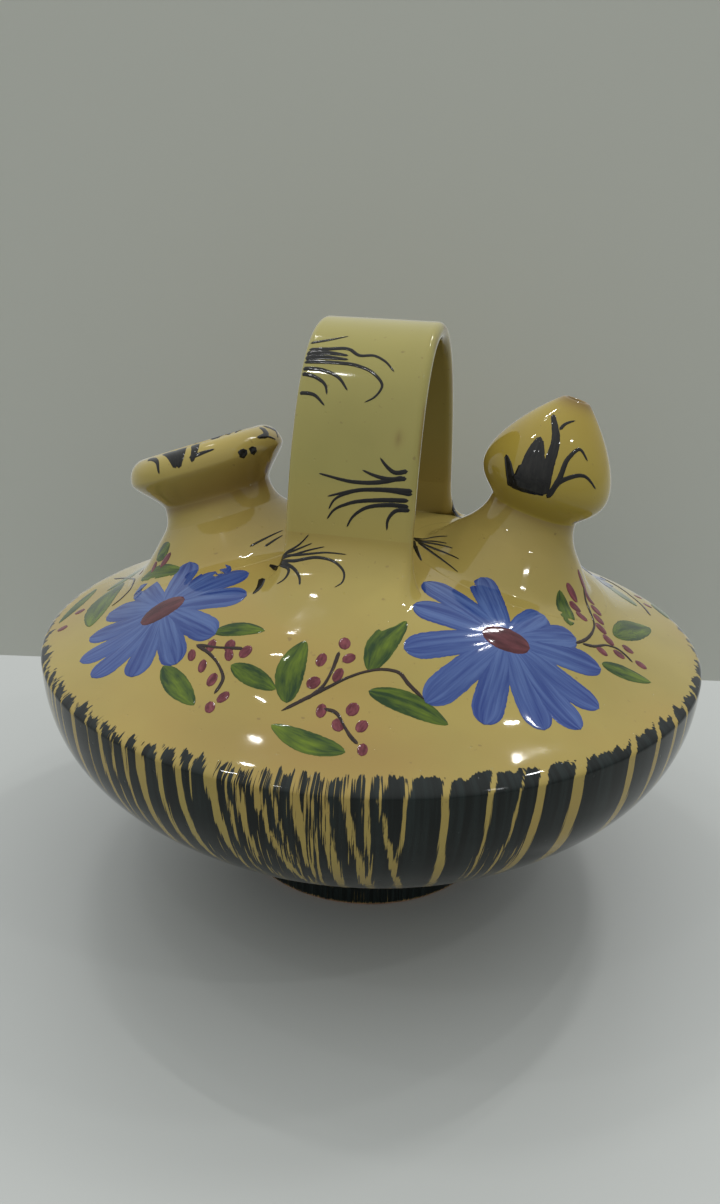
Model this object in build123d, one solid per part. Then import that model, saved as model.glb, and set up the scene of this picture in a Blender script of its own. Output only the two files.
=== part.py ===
"""Glazed table botijo: a closed water jug with a filler neck, a drinking spout and a strap handle.

The clay members are separate solids, seated on each other as they are joined with slip before firing.
Frame: origin at the centre of the foot's underside, +Z up, spout towards +X, filler towards -X,
handle arch in the YZ plane. Lengths in millimetres, angles in degrees.
"""
from build123d import *
from math import cos, hypot, radians, sin, sqrt
import os

os.makedirs("parts", exist_ok=True)

# Foot ring
foot_radius = 48.6
foot_height = 9.6
foot_width = 10.0
foot_edge_radius = 2.0

# Lower bowl: its side leaves the foot at a slope and comes upright at the belly
belly_radius = 120.0
belly_height = 88.8
bowl_wall = 6.0
bowl_foot_slope = 35.8
bowl_foot_pull = 56.1
bowl_belly_pull = 38.2

# Upper dome: a tight shoulder, a hollow flank and a rounded crown
dome_wall = 6.0
crown_height = 128.6
shoulder_width = 32.9
flank_radius = belly_radius - shoulder_width
flank_height = 107.3
flank_slope = 40.0
shoulder_pull = 4.1
flank_lower_pull = 20.1
flank_upper_pull = 19.4
crown_pull = 49.7

# Filler: a waisted neck under a wide flared lip, set in from the flank, leaning outwards and rearwards
filler_inset = 31.1
filler_reach = flank_radius - filler_inset
filler_lean = 19.5
filler_rear_lean = 5.0
filler_base_radius = 22.3
filler_taper_rise = 10.3
filler_neck_radius = 20.2
filler_neck_rise = 14.8
filler_wall = 5.0
filler_lip_radius = 29.0
filler_lip_widest = 11.8
filler_lip_height = 19.6
filler_lip_low_pull = 2.9
filler_lip_high_pull = 2.4
filler_lip_round = 7.0
filler_mouth_round = 3.5
filler_hollow_cover = 3.0
filler_hollow_rise = 4.2
filler_coil_rise = 7.4
filler_coil_reach = 19.7
filler_coil_hollow_reach = 4.7
filler_coil_hollow_rise = 2.0

# Spout: a tapering neck under a turnip-shaped bulb with a fine hole at its tip, leaning the other way
spout_inset = 36.1
spout_reach = flank_radius - spout_inset
spout_lean = 16.2
spout_rear_lean = 5.0
spout_base_radius = 20.3
spout_taper_rise = 13.7
spout_neck_radius = 15.6
spout_neck_rise = 18.8
spout_wall = 4.5
spout_bulb_radius = 22.6
spout_bulb_widest = 11.6
spout_bulb_height = 39.7
spout_bulb_low_pull = 2.0
spout_bulb_high_pull = 6.7
spout_shoulder_pull = 8.6
spout_tip_radius = 5.0
spout_tip_slope = 42.0
spout_tip_pull = 10.0
spout_hole_radius = 3.2
spout_hole_length = 4.0
spout_coil_rise = 8.2
spout_coil_reach = 16.7
spout_coil_hollow_reach = 4.9
spout_coil_hollow_rise = 2.9

# Depth below the dome, on a neck's axis, that a coil's outer edge aims at before it is cut to the dome
coil_edge_drop = 11.0
# Depth that a neck's or coil's blank reaches below the dome before it is cut to it
blank_depth = 18.0

# Handle: a flat strap bent into an arch over the crown
handle_height = 203.4
strap_width = 42.6
strap_thickness = 6.0
strap_edge_radius = 2.4
strap_leg_reach = 44.8
strap_leg_base = 126.0
strap_leg_lean = 4.9
strap_leg_pull = 62.6
strap_crown_pull = 18.1

# Handle roots: the strap's ends flare out over round pads smoothed onto the dome
root_height = 14.0
root_side_flare = 6.0
root_outer_flare = 11.0
root_inner_flare = 5.0
root_sink = 6.0
root_corner_growth = 3.0
root_sections = (0.0, 0.4, 0.72, 1.0)
pad_offset = 8.0
pad_rise = 3.0
pad_half_width = 30.0
pad_length_bend = 50.0
pad_width_bend = 75.0


def curve_point(points, t):
    """Point of a cubic curve given by four (x, y) control points."""
    weights = ((1 - t) ** 3, 3 * t * (1 - t) ** 2, 3 * t * t * (1 - t), t ** 3)
    return tuple(sum(w * p[axis] for w, p in zip(weights, points)) for axis in (0, 1))


def curve_at(points, axis, value):
    """Point of a cubic curve whose coordinate on axis has this value, for a curve that is steady there."""
    rising = points[3][axis] > points[0][axis]
    low, high = 0.0, 1.0
    for _ in range(60):
        middle = (low + high) / 2
        if (curve_point(points, middle)[axis] < value) == rising:
            low = middle
        else:
            high = middle
    return curve_point(points, low)


def turned(*lines):
    """Solid turned about Z from a closed outline in (radius, height)."""
    outline = make_face([edge for line in lines for edge in (Plane.XZ * line).edges()])
    return revolve(outline, Axis.Z)


def bowl_side(inset):
    """Control points of the bowl's side, moved inwards by inset, from the foot to the belly."""
    slope = radians(bowl_foot_slope)
    start = (foot_radius - inset * sin(slope), foot_height + inset * cos(slope))
    end = (belly_radius - inset, belly_height)
    outer_span = hypot(belly_radius - foot_radius, belly_height - foot_height)
    share = hypot(end[0] - start[0], end[1] - start[1]) / outer_span
    foot_pull = bowl_foot_pull * share
    return [
        start,
        (start[0] + foot_pull * cos(slope), start[1] + foot_pull * sin(slope)),
        (end[0], end[1] - bowl_belly_pull * share),
        end,
    ]


def dome_side(inset):
    """Control points of the dome's shoulder and crown, moved inwards by inset, from the belly up."""
    slope = radians(flank_slope)
    belly = (belly_radius - inset, belly_height)
    flank = (flank_radius - inset * sin(slope), flank_height - inset * cos(slope))
    crown = (0.0, crown_height - inset)
    lower_pull = flank_lower_pull * (belly[0] - flank[0]) / (belly_radius - flank_radius)
    shoulder_curve = [
        belly,
        (belly[0], belly[1] + shoulder_pull),
        (flank[0] + lower_pull * cos(slope), flank[1] - lower_pull * sin(slope)),
        flank,
    ]
    crown_curve = [
        flank,
        (flank[0] - flank_upper_pull * cos(slope), flank[1] + flank_upper_pull * sin(slope)),
        (crown_pull, crown[1]),
        crown,
    ]
    return shoulder_curve, crown_curve


def dome_height_at(radius):
    """Height of the dome's outer surface at a radius inside the flank."""
    return curve_at(dome_side(0.0)[1], 0, radius)[1]


def make_body_blank():
    """The whole body filled solid: its outside is what the necks and the handle are cut to."""
    bowl = bowl_side(0.0)
    shoulder, crown = dome_side(0.0)
    return turned(
        Bezier(*bowl),
        Bezier(*shoulder),
        Bezier(*crown),
        Polyline(crown[3], (0, foot_height), bowl[0]),
    )


def make_foot_ring():
    """Ring with rounded lower edges and a flat top that the bowl's base sits on."""
    inner = foot_radius - foot_width
    ring = turned(Polyline((inner, 0), (foot_radius, 0), (foot_radius, foot_height),
                           (inner, foot_height), (inner, 0)))
    lower_edges = ring.edges().group_by(Axis.Z)[0].filter_by(GeomType.CIRCLE)
    return fillet(lower_edges, foot_edge_radius)


def make_lower_bowl():
    """Open bowl with a flat base and a flat rim that the dome sits on."""
    outer = bowl_side(0.0)
    inner = bowl_side(bowl_wall)
    return turned(
        Bezier(*outer),
        Polyline(outer[3], inner[3]),
        Bezier(*inner),
        Polyline(inner[0], (0, inner[0][1]), (0, foot_height), outer[0]),
    )


def make_upper_dome(bores):
    """Dome shell with a hole on each neck's axis."""
    outer_shoulder, outer_crown = dome_side(0.0)
    inner_shoulder, inner_crown = dome_side(dome_wall)
    dome = turned(
        Bezier(*outer_shoulder),
        Bezier(*outer_crown),
        Polyline(outer_crown[3], inner_crown[3]),
        Bezier(*inner_crown),
        Bezier(*inner_shoulder),
        Polyline(inner_shoulder[0], outer_shoulder[0]),
    )
    for place, radius in bores:
        dome -= place * Cylinder(radius, 2 * blank_depth)
    return dome


def neck_place(reach, lean, rear_lean):
    """Plane on the dome's surface at reach along X, whose Z leans outwards and to the rear."""
    lean_x = sin(radians(lean)) * (1 if reach > 0 else -1)
    lean_y = sin(radians(rear_lean))
    axis = (lean_x, lean_y, sqrt(1 - lean_x ** 2 - lean_y ** 2))
    return Plane(origin=(reach, 0, dome_height_at(abs(reach))), x_dir=(1, 0, 0), z_dir=axis)


def make_base_coil(place, blank, neck_radius, reach, rise, hollow_reach, hollow_rise):
    """Concave coil that fills the corner between a neck and the dome."""
    edge = neck_radius + reach
    coil = turned(
        Bezier((neck_radius, rise), (neck_radius + hollow_reach, hollow_rise), (edge, -coil_edge_drop)),
        Polyline((edge, -coil_edge_drop), (edge, -blank_depth), (neck_radius, -blank_depth),
                 (neck_radius, rise)),
    )
    return place * coil - blank


def make_neck(place, blank, wall, base_radius, base_rise, taper_rise, top_radius, top_rise):
    """Tube that stands on the dome and tapers, above its base coil, to the crease under the next piece."""
    inner = top_radius - wall
    coil_top = (base_radius, base_rise)
    crease = (top_radius, top_rise)
    neck = turned(
        Polyline((inner, -blank_depth), (base_radius, -blank_depth), coil_top),
        Bezier(coil_top, (top_radius, taper_rise), crease),
        Polyline(crease, (inner, top_rise), (inner, -blank_depth)),
    )
    return place * neck - blank


def make_filler_lip(place):
    """Flared rim: it opens out above the crease, rounds over to the mouth and is hollow below it."""
    base = filler_neck_rise
    widest = base + filler_lip_widest
    rim = base + filler_lip_height
    rim_radius = filler_lip_radius - filler_lip_round
    mouth = rim_radius - filler_mouth_round
    mouth_edge = rim - filler_mouth_round
    inner = filler_neck_radius - filler_wall
    # Share of a rounded quarter's side that its cubic's pulls take
    quarter = 0.55
    round_rise = quarter * (rim - widest)
    lip = turned(
        Polyline((inner, base), (filler_neck_radius, base)),
        Bezier((filler_neck_radius, base), (filler_neck_radius, base + filler_lip_low_pull),
               (filler_lip_radius, widest - filler_lip_high_pull), (filler_lip_radius, widest)),
        Bezier((filler_lip_radius, widest), (filler_lip_radius, widest + round_rise),
               (rim_radius + quarter * filler_lip_round, rim), (rim_radius, rim)),
        Bezier((rim_radius, rim), (rim_radius - quarter * filler_mouth_round, rim),
               (mouth, mouth_edge + quarter * filler_mouth_round), (mouth, mouth_edge)),
        Bezier((mouth, mouth_edge), (filler_lip_radius - filler_hollow_cover, widest),
               (filler_neck_radius, base + filler_hollow_rise), (inner, base)),
    )
    return place * lip


def bulb_side(inset, tip_radius, tip_rise):
    """Control points of the bulb's underside and upper side, moved inwards by inset."""
    base = (spout_neck_radius - inset, spout_neck_rise)
    widest = (spout_bulb_radius - inset, spout_neck_rise + spout_bulb_widest)
    slope = radians(spout_tip_slope)
    underside = [
        base,
        (base[0], base[1] + spout_bulb_low_pull),
        (widest[0], widest[1] - spout_bulb_high_pull + inset / 2),
        widest,
    ]
    upper_side = [
        widest,
        (widest[0], widest[1] + spout_shoulder_pull),
        (tip_radius + spout_tip_pull * cos(slope), tip_rise - spout_tip_pull * sin(slope)),
        (tip_radius, tip_rise),
    ]
    return underside, upper_side


def make_spout_bulb(place):
    """Hollow bulb that narrows to a blunt tip with a fine hole."""
    tip_rise = spout_neck_rise + spout_bulb_height
    hole_rise = tip_rise - spout_hole_length
    outer_under, outer_upper = bulb_side(0.0, spout_tip_radius, tip_rise)
    inner_under, inner_upper = bulb_side(spout_wall, spout_hole_radius, hole_rise)
    bulb = turned(
        Bezier(*outer_under),
        Bezier(*outer_upper),
        Polyline(outer_upper[3], (spout_hole_radius, tip_rise), inner_upper[3]),
        Bezier(*inner_upper),
        Bezier(*inner_under),
        Polyline(inner_under[0], outer_under[0]),
    )
    return place * bulb


def strap_side(inset):
    """Control points in (Y, Z) of the strap's rear half, moved inwards by inset, from leg to crown."""
    lean = radians(strap_leg_lean)
    leg = (strap_leg_reach - inset / cos(lean), strap_leg_base)
    crown = (0.0, handle_height - inset)
    leg_pull = strap_leg_pull * (crown[1] - leg[1]) / (handle_height - strap_leg_base)
    crown_pull_here = strap_crown_pull * leg[0] / strap_leg_reach
    return [
        leg,
        (leg[0] - leg_pull * sin(lean), leg[1] + leg_pull * cos(lean)),
        (crown_pull_here, crown[1]),
        crown,
    ]


def make_strap_handle(root_top):
    """Arch of even thickness with rounded edges, cut level where its roots begin."""
    outer = strap_side(0.0)
    inner = strap_side(strap_thickness)
    rear_half = [Bezier(*outer), Bezier(*inner)]
    halves = rear_half + [mirror(line, about=Plane.YZ) for line in rear_half]
    ends = [Polyline(outer[0], inner[0])]
    ends += [mirror(line, about=Plane.YZ) for line in ends]
    outline = make_face([edge for line in halves + ends for edge in (Plane.YZ * line).edges()])
    arch = extrude(outline, amount=strap_width / 2, both=True)
    long_edges = arch.faces().filter_by(Axis.X).edges().filter_by(GeomType.BEZIER)
    arch = fillet(long_edges, strap_edge_radius)
    return split(arch, Plane.XY.offset(root_top), keep=Keep.TOP)


def make_rear_root(root_top, blank):
    """Strap end that flares down into the dome, fused with the rounded pad it is pressed on."""
    leg_outer = curve_at(strap_side(0.0), 1, root_top)[0]
    leg_inner = curve_at(strap_side(strap_thickness), 1, root_top)[0]
    sections = []
    for share in root_sections:
        spread = share ** 3
        outer = leg_outer + root_outer_flare * spread
        inner = leg_inner - root_inner_flare * spread
        level = Plane(origin=(0, (outer + inner) / 2, root_top - share * (root_height + root_sink)))
        width = strap_width + 2 * root_side_flare * spread
        corner = strap_edge_radius + root_corner_growth * spread
        sections.append(level * RectangleRounded(width, outer - inner, corner))
    flare = loft(sections)

    # The pad is a barrel lying across the dome, of which only the crown stands out
    pad_reach = strap_leg_reach + pad_offset
    step = 1.0
    fall = dome_height_at(pad_reach - step) - dome_height_at(pad_reach + step)
    pad_place = Plane(origin=(0, pad_reach, dome_height_at(pad_reach)), x_dir=(1, 0, 0),
                      z_dir=(0, fall, 2 * step))
    pad_end = pad_length_bend - pad_width_bend + sqrt(pad_width_bend ** 2 - pad_half_width ** 2)
    stave = ThreePointArc((-pad_half_width, pad_end), (0, pad_length_bend), (pad_half_width, pad_end))
    ends = Polyline((pad_half_width, pad_end), (pad_half_width, 0), (-pad_half_width, 0),
                    (-pad_half_width, pad_end))
    barrel = revolve(make_face(stave.edges() + ends.edges()), Axis.X)
    pad = pad_place * Pos(0, 0, pad_rise - pad_length_bend) * barrel
    pad = split(pad, Plane.XY.offset(belly_height), keep=Keep.TOP)
    return flare + pad - blank


body_blank = make_body_blank()
filler_place = neck_place(-filler_reach, filler_lean, filler_rear_lean)
spout_place = neck_place(spout_reach, spout_lean, spout_rear_lean)
neck_bores = [
    (filler_place, filler_neck_radius - filler_wall),
    (spout_place, spout_neck_radius - spout_wall),
]
strap_end_height = dome_height_at(strap_leg_reach) + root_height
rear_root = make_rear_root(strap_end_height, body_blank)

pieces = {
    "foot_ring": make_foot_ring(),
    "lower_bowl": make_lower_bowl(),
    "upper_dome": make_upper_dome(neck_bores),
    "filler_neck": make_neck(
        filler_place, body_blank, filler_wall, filler_base_radius, filler_coil_rise,
        filler_taper_rise, filler_neck_radius, filler_neck_rise),
    "filler_lip": make_filler_lip(filler_place),
    "filler_base_coil": make_base_coil(
        filler_place, body_blank, filler_base_radius, filler_coil_reach,
        filler_coil_rise, filler_coil_hollow_reach, filler_coil_hollow_rise),
    "spout_neck": make_neck(
        spout_place, body_blank, spout_wall, spout_base_radius, spout_coil_rise,
        spout_taper_rise, spout_neck_radius, spout_neck_rise),
    "spout_bulb": make_spout_bulb(spout_place),
    "spout_base_coil": make_base_coil(
        spout_place, body_blank, spout_base_radius, spout_coil_reach,
        spout_coil_rise, spout_coil_hollow_reach, spout_coil_hollow_rise),
    "strap_handle": make_strap_handle(strap_end_height),
    "handle_front_root": mirror(rear_root, about=Plane.XZ),
    "handle_rear_root": rear_root,
}

for name, piece in pieces.items():
    solids = piece.solids()
    print(name, len(solids), "solid", round(piece.volume), "mm3")
    export_step(solids[0] if len(solids) == 1 else piece, f"parts/{name}.step")
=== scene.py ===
"""Looks of a glazed table botijo: a closed water jug with a filler neck, a drinking spout and a handle.

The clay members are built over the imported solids, in metres and in the same frame: foot at z = 0,
spout towards +X, filler towards -X, handle arch in the YZ plane. The painted decoration lies on the glaze.
"""

import math

import bmesh
import bpy
import numpy as np
from mathutils import Matrix, Vector
from mathutils.bvhtree import BVHTree


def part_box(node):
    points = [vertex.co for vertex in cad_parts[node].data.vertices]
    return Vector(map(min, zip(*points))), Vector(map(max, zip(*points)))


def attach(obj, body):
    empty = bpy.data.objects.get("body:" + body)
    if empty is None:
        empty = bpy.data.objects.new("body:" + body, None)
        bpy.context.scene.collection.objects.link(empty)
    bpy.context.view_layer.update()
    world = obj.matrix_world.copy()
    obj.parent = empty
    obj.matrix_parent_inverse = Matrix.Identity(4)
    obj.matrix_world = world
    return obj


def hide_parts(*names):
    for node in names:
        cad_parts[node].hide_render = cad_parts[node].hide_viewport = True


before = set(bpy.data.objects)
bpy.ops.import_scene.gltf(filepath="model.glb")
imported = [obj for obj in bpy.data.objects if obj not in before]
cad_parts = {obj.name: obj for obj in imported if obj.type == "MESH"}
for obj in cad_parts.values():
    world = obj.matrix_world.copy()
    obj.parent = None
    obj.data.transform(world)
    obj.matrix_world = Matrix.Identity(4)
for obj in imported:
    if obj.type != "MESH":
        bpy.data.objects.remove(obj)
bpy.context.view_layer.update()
bpy.context.scene.view_settings.view_transform = "Standard"

# Foot ring
# The low turned ring that the jug stands on, of the same buff earthenware as the rest. It is glazed and
# brushed with ink outside, and its standing edge was wiped bare before firing.
mm = 0.001
foot_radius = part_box("foot_ring")[1][0]
foot_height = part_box("foot_ring")[1][2]
foot_width = 10.0 * mm
foot_edge = 2.0 * mm
body_columns = 800


def curve(controls, rows):
    """Points of a Bezier curve by two, three or four control points, with a close pair at each end."""
    near_end = 0.002
    t = np.concatenate([[0.0, near_end], np.linspace(0.0, 1.0, rows)[1:-1], [1.0 - near_end, 1.0]])[:, None]
    points = [np.array(c, float) for c in controls]
    while len(points) > 1:
        points = [(1 - t) * a + t * b for a, b in zip(points, points[1:])]
    return points[0]


def corner(centre, radius, start, end, steps=8):
    """Points of a rounded corner in (radius, height), between two angles in degrees."""
    turn = np.radians(np.linspace(start, end, steps))
    return np.stack([centre[0] + radius * np.cos(turn), centre[1] + radius * np.sin(turn)], 1)


def turned_rings(outline, columns, seat=(0.0, 0.0, 0.0), axis=(0.0, 0.0, 1.0)):
    """One ring of points for each (radius, height) of an outline turned about an axis through seat."""
    up = np.array(axis) / np.linalg.norm(axis)
    right = np.cross((0.0, 1.0, 0.0), up)
    right /= np.linalg.norm(right)
    ahead = np.cross(up, right)
    turn = np.linspace(0.0, 2.0 * math.pi, columns, endpoint=False)[:, None]
    spokes = np.cos(turn) * right + np.sin(turn) * ahead
    pole_radius = 1e-9
    rings = []
    for radius, height in outline:
        if radius < pole_radius:
            rings.append((np.array(seat) + up * height)[None])
        else:
            rings.append(np.array(seat) + up * height + spokes * radius)
    return rings


def hand_wobble(points):
    """The small unevenness of thrown clay, always inwards, so that no piece grows past its size."""
    x, y, z = points.T
    wave_x, wave_y, wave_z = 31.0 * mm, 27.0 * mm, 17.0 * mm
    bend, bend_z, bend_x, shift_y = 0.7, 23.0 * mm, 60.0 * mm, 1.3
    swell = (np.sin(x / wave_x + bend * np.sin(z / bend_z)) + np.sin(y / wave_y + shift_y)
             + np.sin(z / wave_z + x / bend_x))
    wave_depth, mean_depth, calm_middle = 0.05 * mm, 0.15 * mm, 20.0 * mm
    inward = wave_depth * swell - mean_depth
    reach = np.maximum(np.linalg.norm(points[:, :2], axis=1), 0.001 * mm)[:, None]
    moved = points.copy()
    moved[:, :2] += points[:, :2] / reach * inward[:, None] * np.minimum(1.0, reach / calm_middle)
    return moved


def new_object(name, data):
    """New object in the scene."""
    placed = bpy.data.objects.new(name, data)
    bpy.context.scene.collection.objects.link(placed)
    return placed


def worked_mesh(piece):
    """Mesh of a piece with its modifiers worked out."""
    bpy.context.view_layer.update()
    return bpy.data.meshes.new_from_object(piece.evaluated_get(bpy.context.evaluated_depsgraph_get()))


sharp_angle = 40.0


def clay_piece(name, rings, closed=False, sharp=sharp_angle):
    """Mesh object from rings of points; a ring of one point is a pole, and closed joins last to first."""
    starts = np.concatenate([[0], np.cumsum([len(ring) for ring in rings])])
    faces = []
    pairs = [(k, k + 1) for k in range(len(rings) - 1)] + ([(len(rings) - 1, 0)] if closed else [])
    for low, high in pairs:
        count = max(len(rings[low]), len(rings[high]))
        here = np.arange(count)
        after = (here + 1) % count
        a = starts[low] + (here if len(rings[low]) > 1 else 0 * here)
        b = starts[low] + (after if len(rings[low]) > 1 else 0 * here)
        c = starts[high] + (after if len(rings[high]) > 1 else 0 * here)
        d = starts[high] + (here if len(rings[high]) > 1 else 0 * here)
        for quad in np.stack([a, b, c, d], 1).tolist():
            faces.append(list(dict.fromkeys(quad)))
    mesh = bpy.data.meshes.new(name)
    mesh.from_pydata(hand_wobble(np.concatenate(rings)).tolist(), [], faces)
    shell = bmesh.new()
    shell.from_mesh(mesh)
    bmesh.ops.recalc_face_normals(shell, faces=shell.faces)
    shell.to_mesh(mesh)
    shell.free()
    mesh.shade_smooth()
    mesh.set_sharp_from_angle(angle=math.radians(sharp))
    return new_object(name, mesh)


def points_of(piece):
    """Points of a piece's mesh as an array."""
    flat = np.empty(len(piece.data.vertices) * 3)
    piece.data.vertices.foreach_get("co", flat)
    return flat.reshape(-1, 3)


def mark(piece, name, values):
    """Keep one number for each point of a piece, for its material to read."""
    layer = piece.data.attributes.new(name, "FLOAT", "POINT")
    layer.data.foreach_set("value", np.ascontiguousarray(values, dtype=np.float32))


def seat_piece(piece, node, finish):
    """Hand a finished clay piece to the frame in place of its solid."""
    piece.data.materials.clear()
    piece.data.materials.append(finish)
    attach(piece, "root")
    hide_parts(node)


def add(tree, kind, sockets=None, **settings):
    """New node in a tree, with its settings, and its inputs either joined to an output or given a value."""
    node = tree.nodes.new(kind)
    for name, value in settings.items():
        setattr(node, name, value)
    for key, value in (sockets or {}).items():
        if isinstance(value, bpy.types.NodeSocket):
            tree.links.new(value, node.inputs[key])
        else:
            node.inputs[key].default_value = value
    return node


def new_group(name, kind, inputs, outputs):
    """Empty node group with named sockets; returns it with its entry and exit nodes."""
    group = bpy.data.node_groups.new(name, kind)
    for socket_name, socket_type, value in inputs:
        socket = group.interface.new_socket(socket_name, in_out="INPUT", socket_type=socket_type)
        if value is not None:
            socket.default_value = value
    for socket_name, socket_type in outputs:
        group.interface.new_socket(socket_name, in_out="OUTPUT", socket_type=socket_type)
    return group, group.nodes.new("NodeGroupInput"), group.nodes.new("NodeGroupOutput")


def ramp(tree, value, low, high, to_low=0.0, to_high=1.0, smooth=False):
    """Output of a node that carries a value from one range to another."""
    node = add(tree, "ShaderNodeMapRange", {"Value": value, "From Min": low, "From Max": high,
                                            "To Min": to_low, "To Max": to_high})
    node.interpolation_type = "SMOOTHSTEP" if smooth else "LINEAR"
    return node.outputs["Result"]


def maths(tree, operation, first, second):
    """Output of a node that works on two numbers."""
    return add(tree, "ShaderNodeMath", {0: first, 1: second}, operation=operation).outputs[0]


def mixed(tree, share, first, second):
    """Output of a node that mixes two colours; it has sockets for numbers and vectors before those."""
    share_in, first_colour_in, second_colour_in, colour_out = 0, 6, 7, 2
    sockets = {share_in: share, first_colour_in: first, second_colour_in: second}
    return add(tree, "ShaderNodeMix", sockets, data_type="RGBA").outputs[colour_out]


def noise(tree, place, scale, detail=2.0, roughness=0.5):
    """Value of a cloud pattern, about 0.5 on average."""
    return add(tree, "ShaderNodeTexNoise", {"Vector": place, "Scale": scale, "Detail": detail,
                                            "Roughness": roughness}).outputs[0]


# The glaze on every clay piece: cloudy where it pooled, blushed by the clay below, with specks and pinholes.
# The scales count the clouds, specks and pinholes in a metre.
pool_scale, blush_scale, speck_scale = 24.0, 15.0, 420.0
gloss_scale, pinhole_scale, ripple_scale = 80.0, 210.0, 34.0
bare_roughness = 0.65
glaze_group, glaze_in, glaze_out = new_group(
    "fired glaze", "ShaderNodeTree",
    [("Glaze", "NodeSocketColor", None), ("Blush", "NodeSocketColor", None),
     ("Blush Amount", "NodeSocketFloat", 0.4), ("Joint And Shade", "NodeSocketFloat", 0.0),
     ("Bare", "NodeSocketFloat", 0.0)],
    [("Color", "NodeSocketColor"), ("Roughness", "NodeSocketFloat"), ("Height", "NodeSocketFloat")])
glaze_place = add(glaze_group, "ShaderNodeTexCoord").outputs["Object"]
pool_cloud = noise(glaze_group, glaze_place, pool_scale, detail=3.0)
pooled = ramp(glaze_group, pool_cloud, low=0.3, high=0.7, to_low=0.90, to_high=1.08)
pooled_glaze = add(glaze_group, "ShaderNodeVectorMath", {0: glaze_in.outputs["Glaze"], "Scale": pooled},
                   operation="SCALE").outputs[0]
blush_noise = noise(glaze_group, glaze_place, blush_scale, detail=4.0)
blush_cloud = ramp(glaze_group, blush_noise, low=0.38, high=0.68)
blush_share = maths(glaze_group, "MULTIPLY", blush_cloud, glaze_in.outputs["Blush Amount"])
blushed = mixed(glaze_group, blush_share, pooled_glaze, glaze_in.outputs["Blush"])
# The joint mark darkens the glaze towards brown. It stands for slip in joints, pooled glaze, worn edges and
# the chipped spout tip, and it is also painted shade under the filler's lip and on the handle's inner side.
joint_and_shade_tint = (0.17, 0.105, 0.035, 1.0)
jointed = mixed(glaze_group, glaze_in.outputs["Joint And Shade"], blushed, joint_and_shade_tint)
speck_cloud = noise(glaze_group, glaze_place, speck_scale, detail=1.0)
speck_mask = ramp(glaze_group, speck_cloud, low=0.735, high=0.80, to_high=0.45)
speck_tint = (0.16, 0.10, 0.045, 1.0)
specked = mixed(glaze_group, speck_mask, jointed, speck_tint)
clay_tint = (0.43, 0.235, 0.16, 1.0)
bared = mixed(glaze_group, glaze_in.outputs["Bare"], specked, clay_tint)
glaze_group.links.new(bared, glaze_out.inputs["Color"])
gloss_cloud = noise(glaze_group, glaze_place, gloss_scale)
gloss = ramp(glaze_group, gloss_cloud, low=0.3, high=0.7, to_low=0.030, to_high=0.065)
bare_rough = maths(glaze_group, "MULTIPLY", glaze_in.outputs["Bare"], bare_roughness)
glaze_group.links.new(maths(glaze_group, "ADD", gloss, bare_rough), glaze_out.inputs["Roughness"])
pin_cells = add(glaze_group, "ShaderNodeTexVoronoi", {"Vector": glaze_place, "Scale": pinhole_scale})
pin_away = pin_cells.outputs["Distance"]
pinholes = ramp(glaze_group, pin_away, low=0.03, high=0.10, to_low=-0.45, to_high=0.0, smooth=True)
ripple = noise(glaze_group, glaze_place, ripple_scale)
glaze_group.links.new(maths(glaze_group, "ADD", ripple, pinholes), glaze_out.inputs["Height"])

# The ink on the foot, the bowl and the shoulder: broad upright brush marks with dry, streaky edges.
ink_group, ink_in, ink_out = new_group(
    "brushed ink", "ShaderNodeTree",
    [("Edge", "NodeSocketFloat", 0.0), ("Dry", "NodeSocketFloat", 0.0)],
    [("Mask", "NodeSocketFloat"), ("Tone", "NodeSocketColor")])
ink_place = add(ink_group, "ShaderNodeTexCoord").outputs["Object"]
ink_xyz = add(ink_group, "ShaderNodeSeparateXYZ", {0: ink_place})
ink_flat = add(ink_group, "ShaderNodeCombineXYZ", {0: ink_xyz.outputs[0], 1: ink_xyz.outputs[1]}).outputs[0]
ink_round = add(ink_group, "ShaderNodeVectorMath", {0: ink_flat}, operation="NORMALIZE").outputs[0]
ink_rise = add(ink_group, "ShaderNodeCombineXYZ", {2: ink_xyz.outputs[2]}).outputs[0]


def streaks(fineness, drag):
    """Streaks along the brush: fineness counts them round the jug, drag breaks them along it."""
    around = add(ink_group, "ShaderNodeVectorMath", {0: ink_round, "Scale": fineness}, operation="SCALE")
    along = add(ink_group, "ShaderNodeVectorMath", {0: ink_rise, "Scale": drag}, operation="SCALE")
    place = add(ink_group, "ShaderNodeVectorMath", {0: around.outputs[0], 1: along.outputs[0]})
    return noise(ink_group, place.outputs[0], scale=1.0, detail=3.0, roughness=0.6)


ink_dry = ink_in.outputs["Dry"]
driest = 1.5
edge_reach = ramp(ink_group, ink_dry, low=0.0, high=driest, to_low=2.6, to_high=9.9)
edge_streak = maths(ink_group, "SUBTRACT", streaks(fineness=150.0, drag=45.0), 0.5)
edge_shift = maths(ink_group, "MULTIPLY", edge_streak, edge_reach)
edge_worn = maths(ink_group, "ADD", ink_in.outputs["Edge"], edge_shift)
dry_level = ramp(ink_group, ink_dry, low=0.0, high=driest, to_low=0.20, to_high=0.478)
dry_streak = maths(ink_group, "SUBTRACT", streaks(fineness=170.0, drag=26.0), dry_level)
dry_sharpness = 9.0
dry_gap = maths(ink_group, "MULTIPLY", dry_streak, dry_sharpness)
ink_cover = maths(ink_group, "MINIMUM", edge_worn, dry_gap)
ink_group.links.new(ramp(ink_group, ink_cover, low=-0.16, high=0.20, smooth=True), ink_out.inputs["Mask"])
ink_dark = (0.0030, 0.0050, 0.0042, 1.0)
ink_thin = (0.0130, 0.0200, 0.0190, 1.0)
ink_wash = ramp(ink_group, streaks(fineness=48.0, drag=20.0), low=0.42, high=0.75)
ink_group.links.new(mixed(ink_group, ink_wash, ink_dark, ink_thin), ink_out.inputs["Tone"])


glass_bending = 1.52
glass_gloss = 0.23


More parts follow.
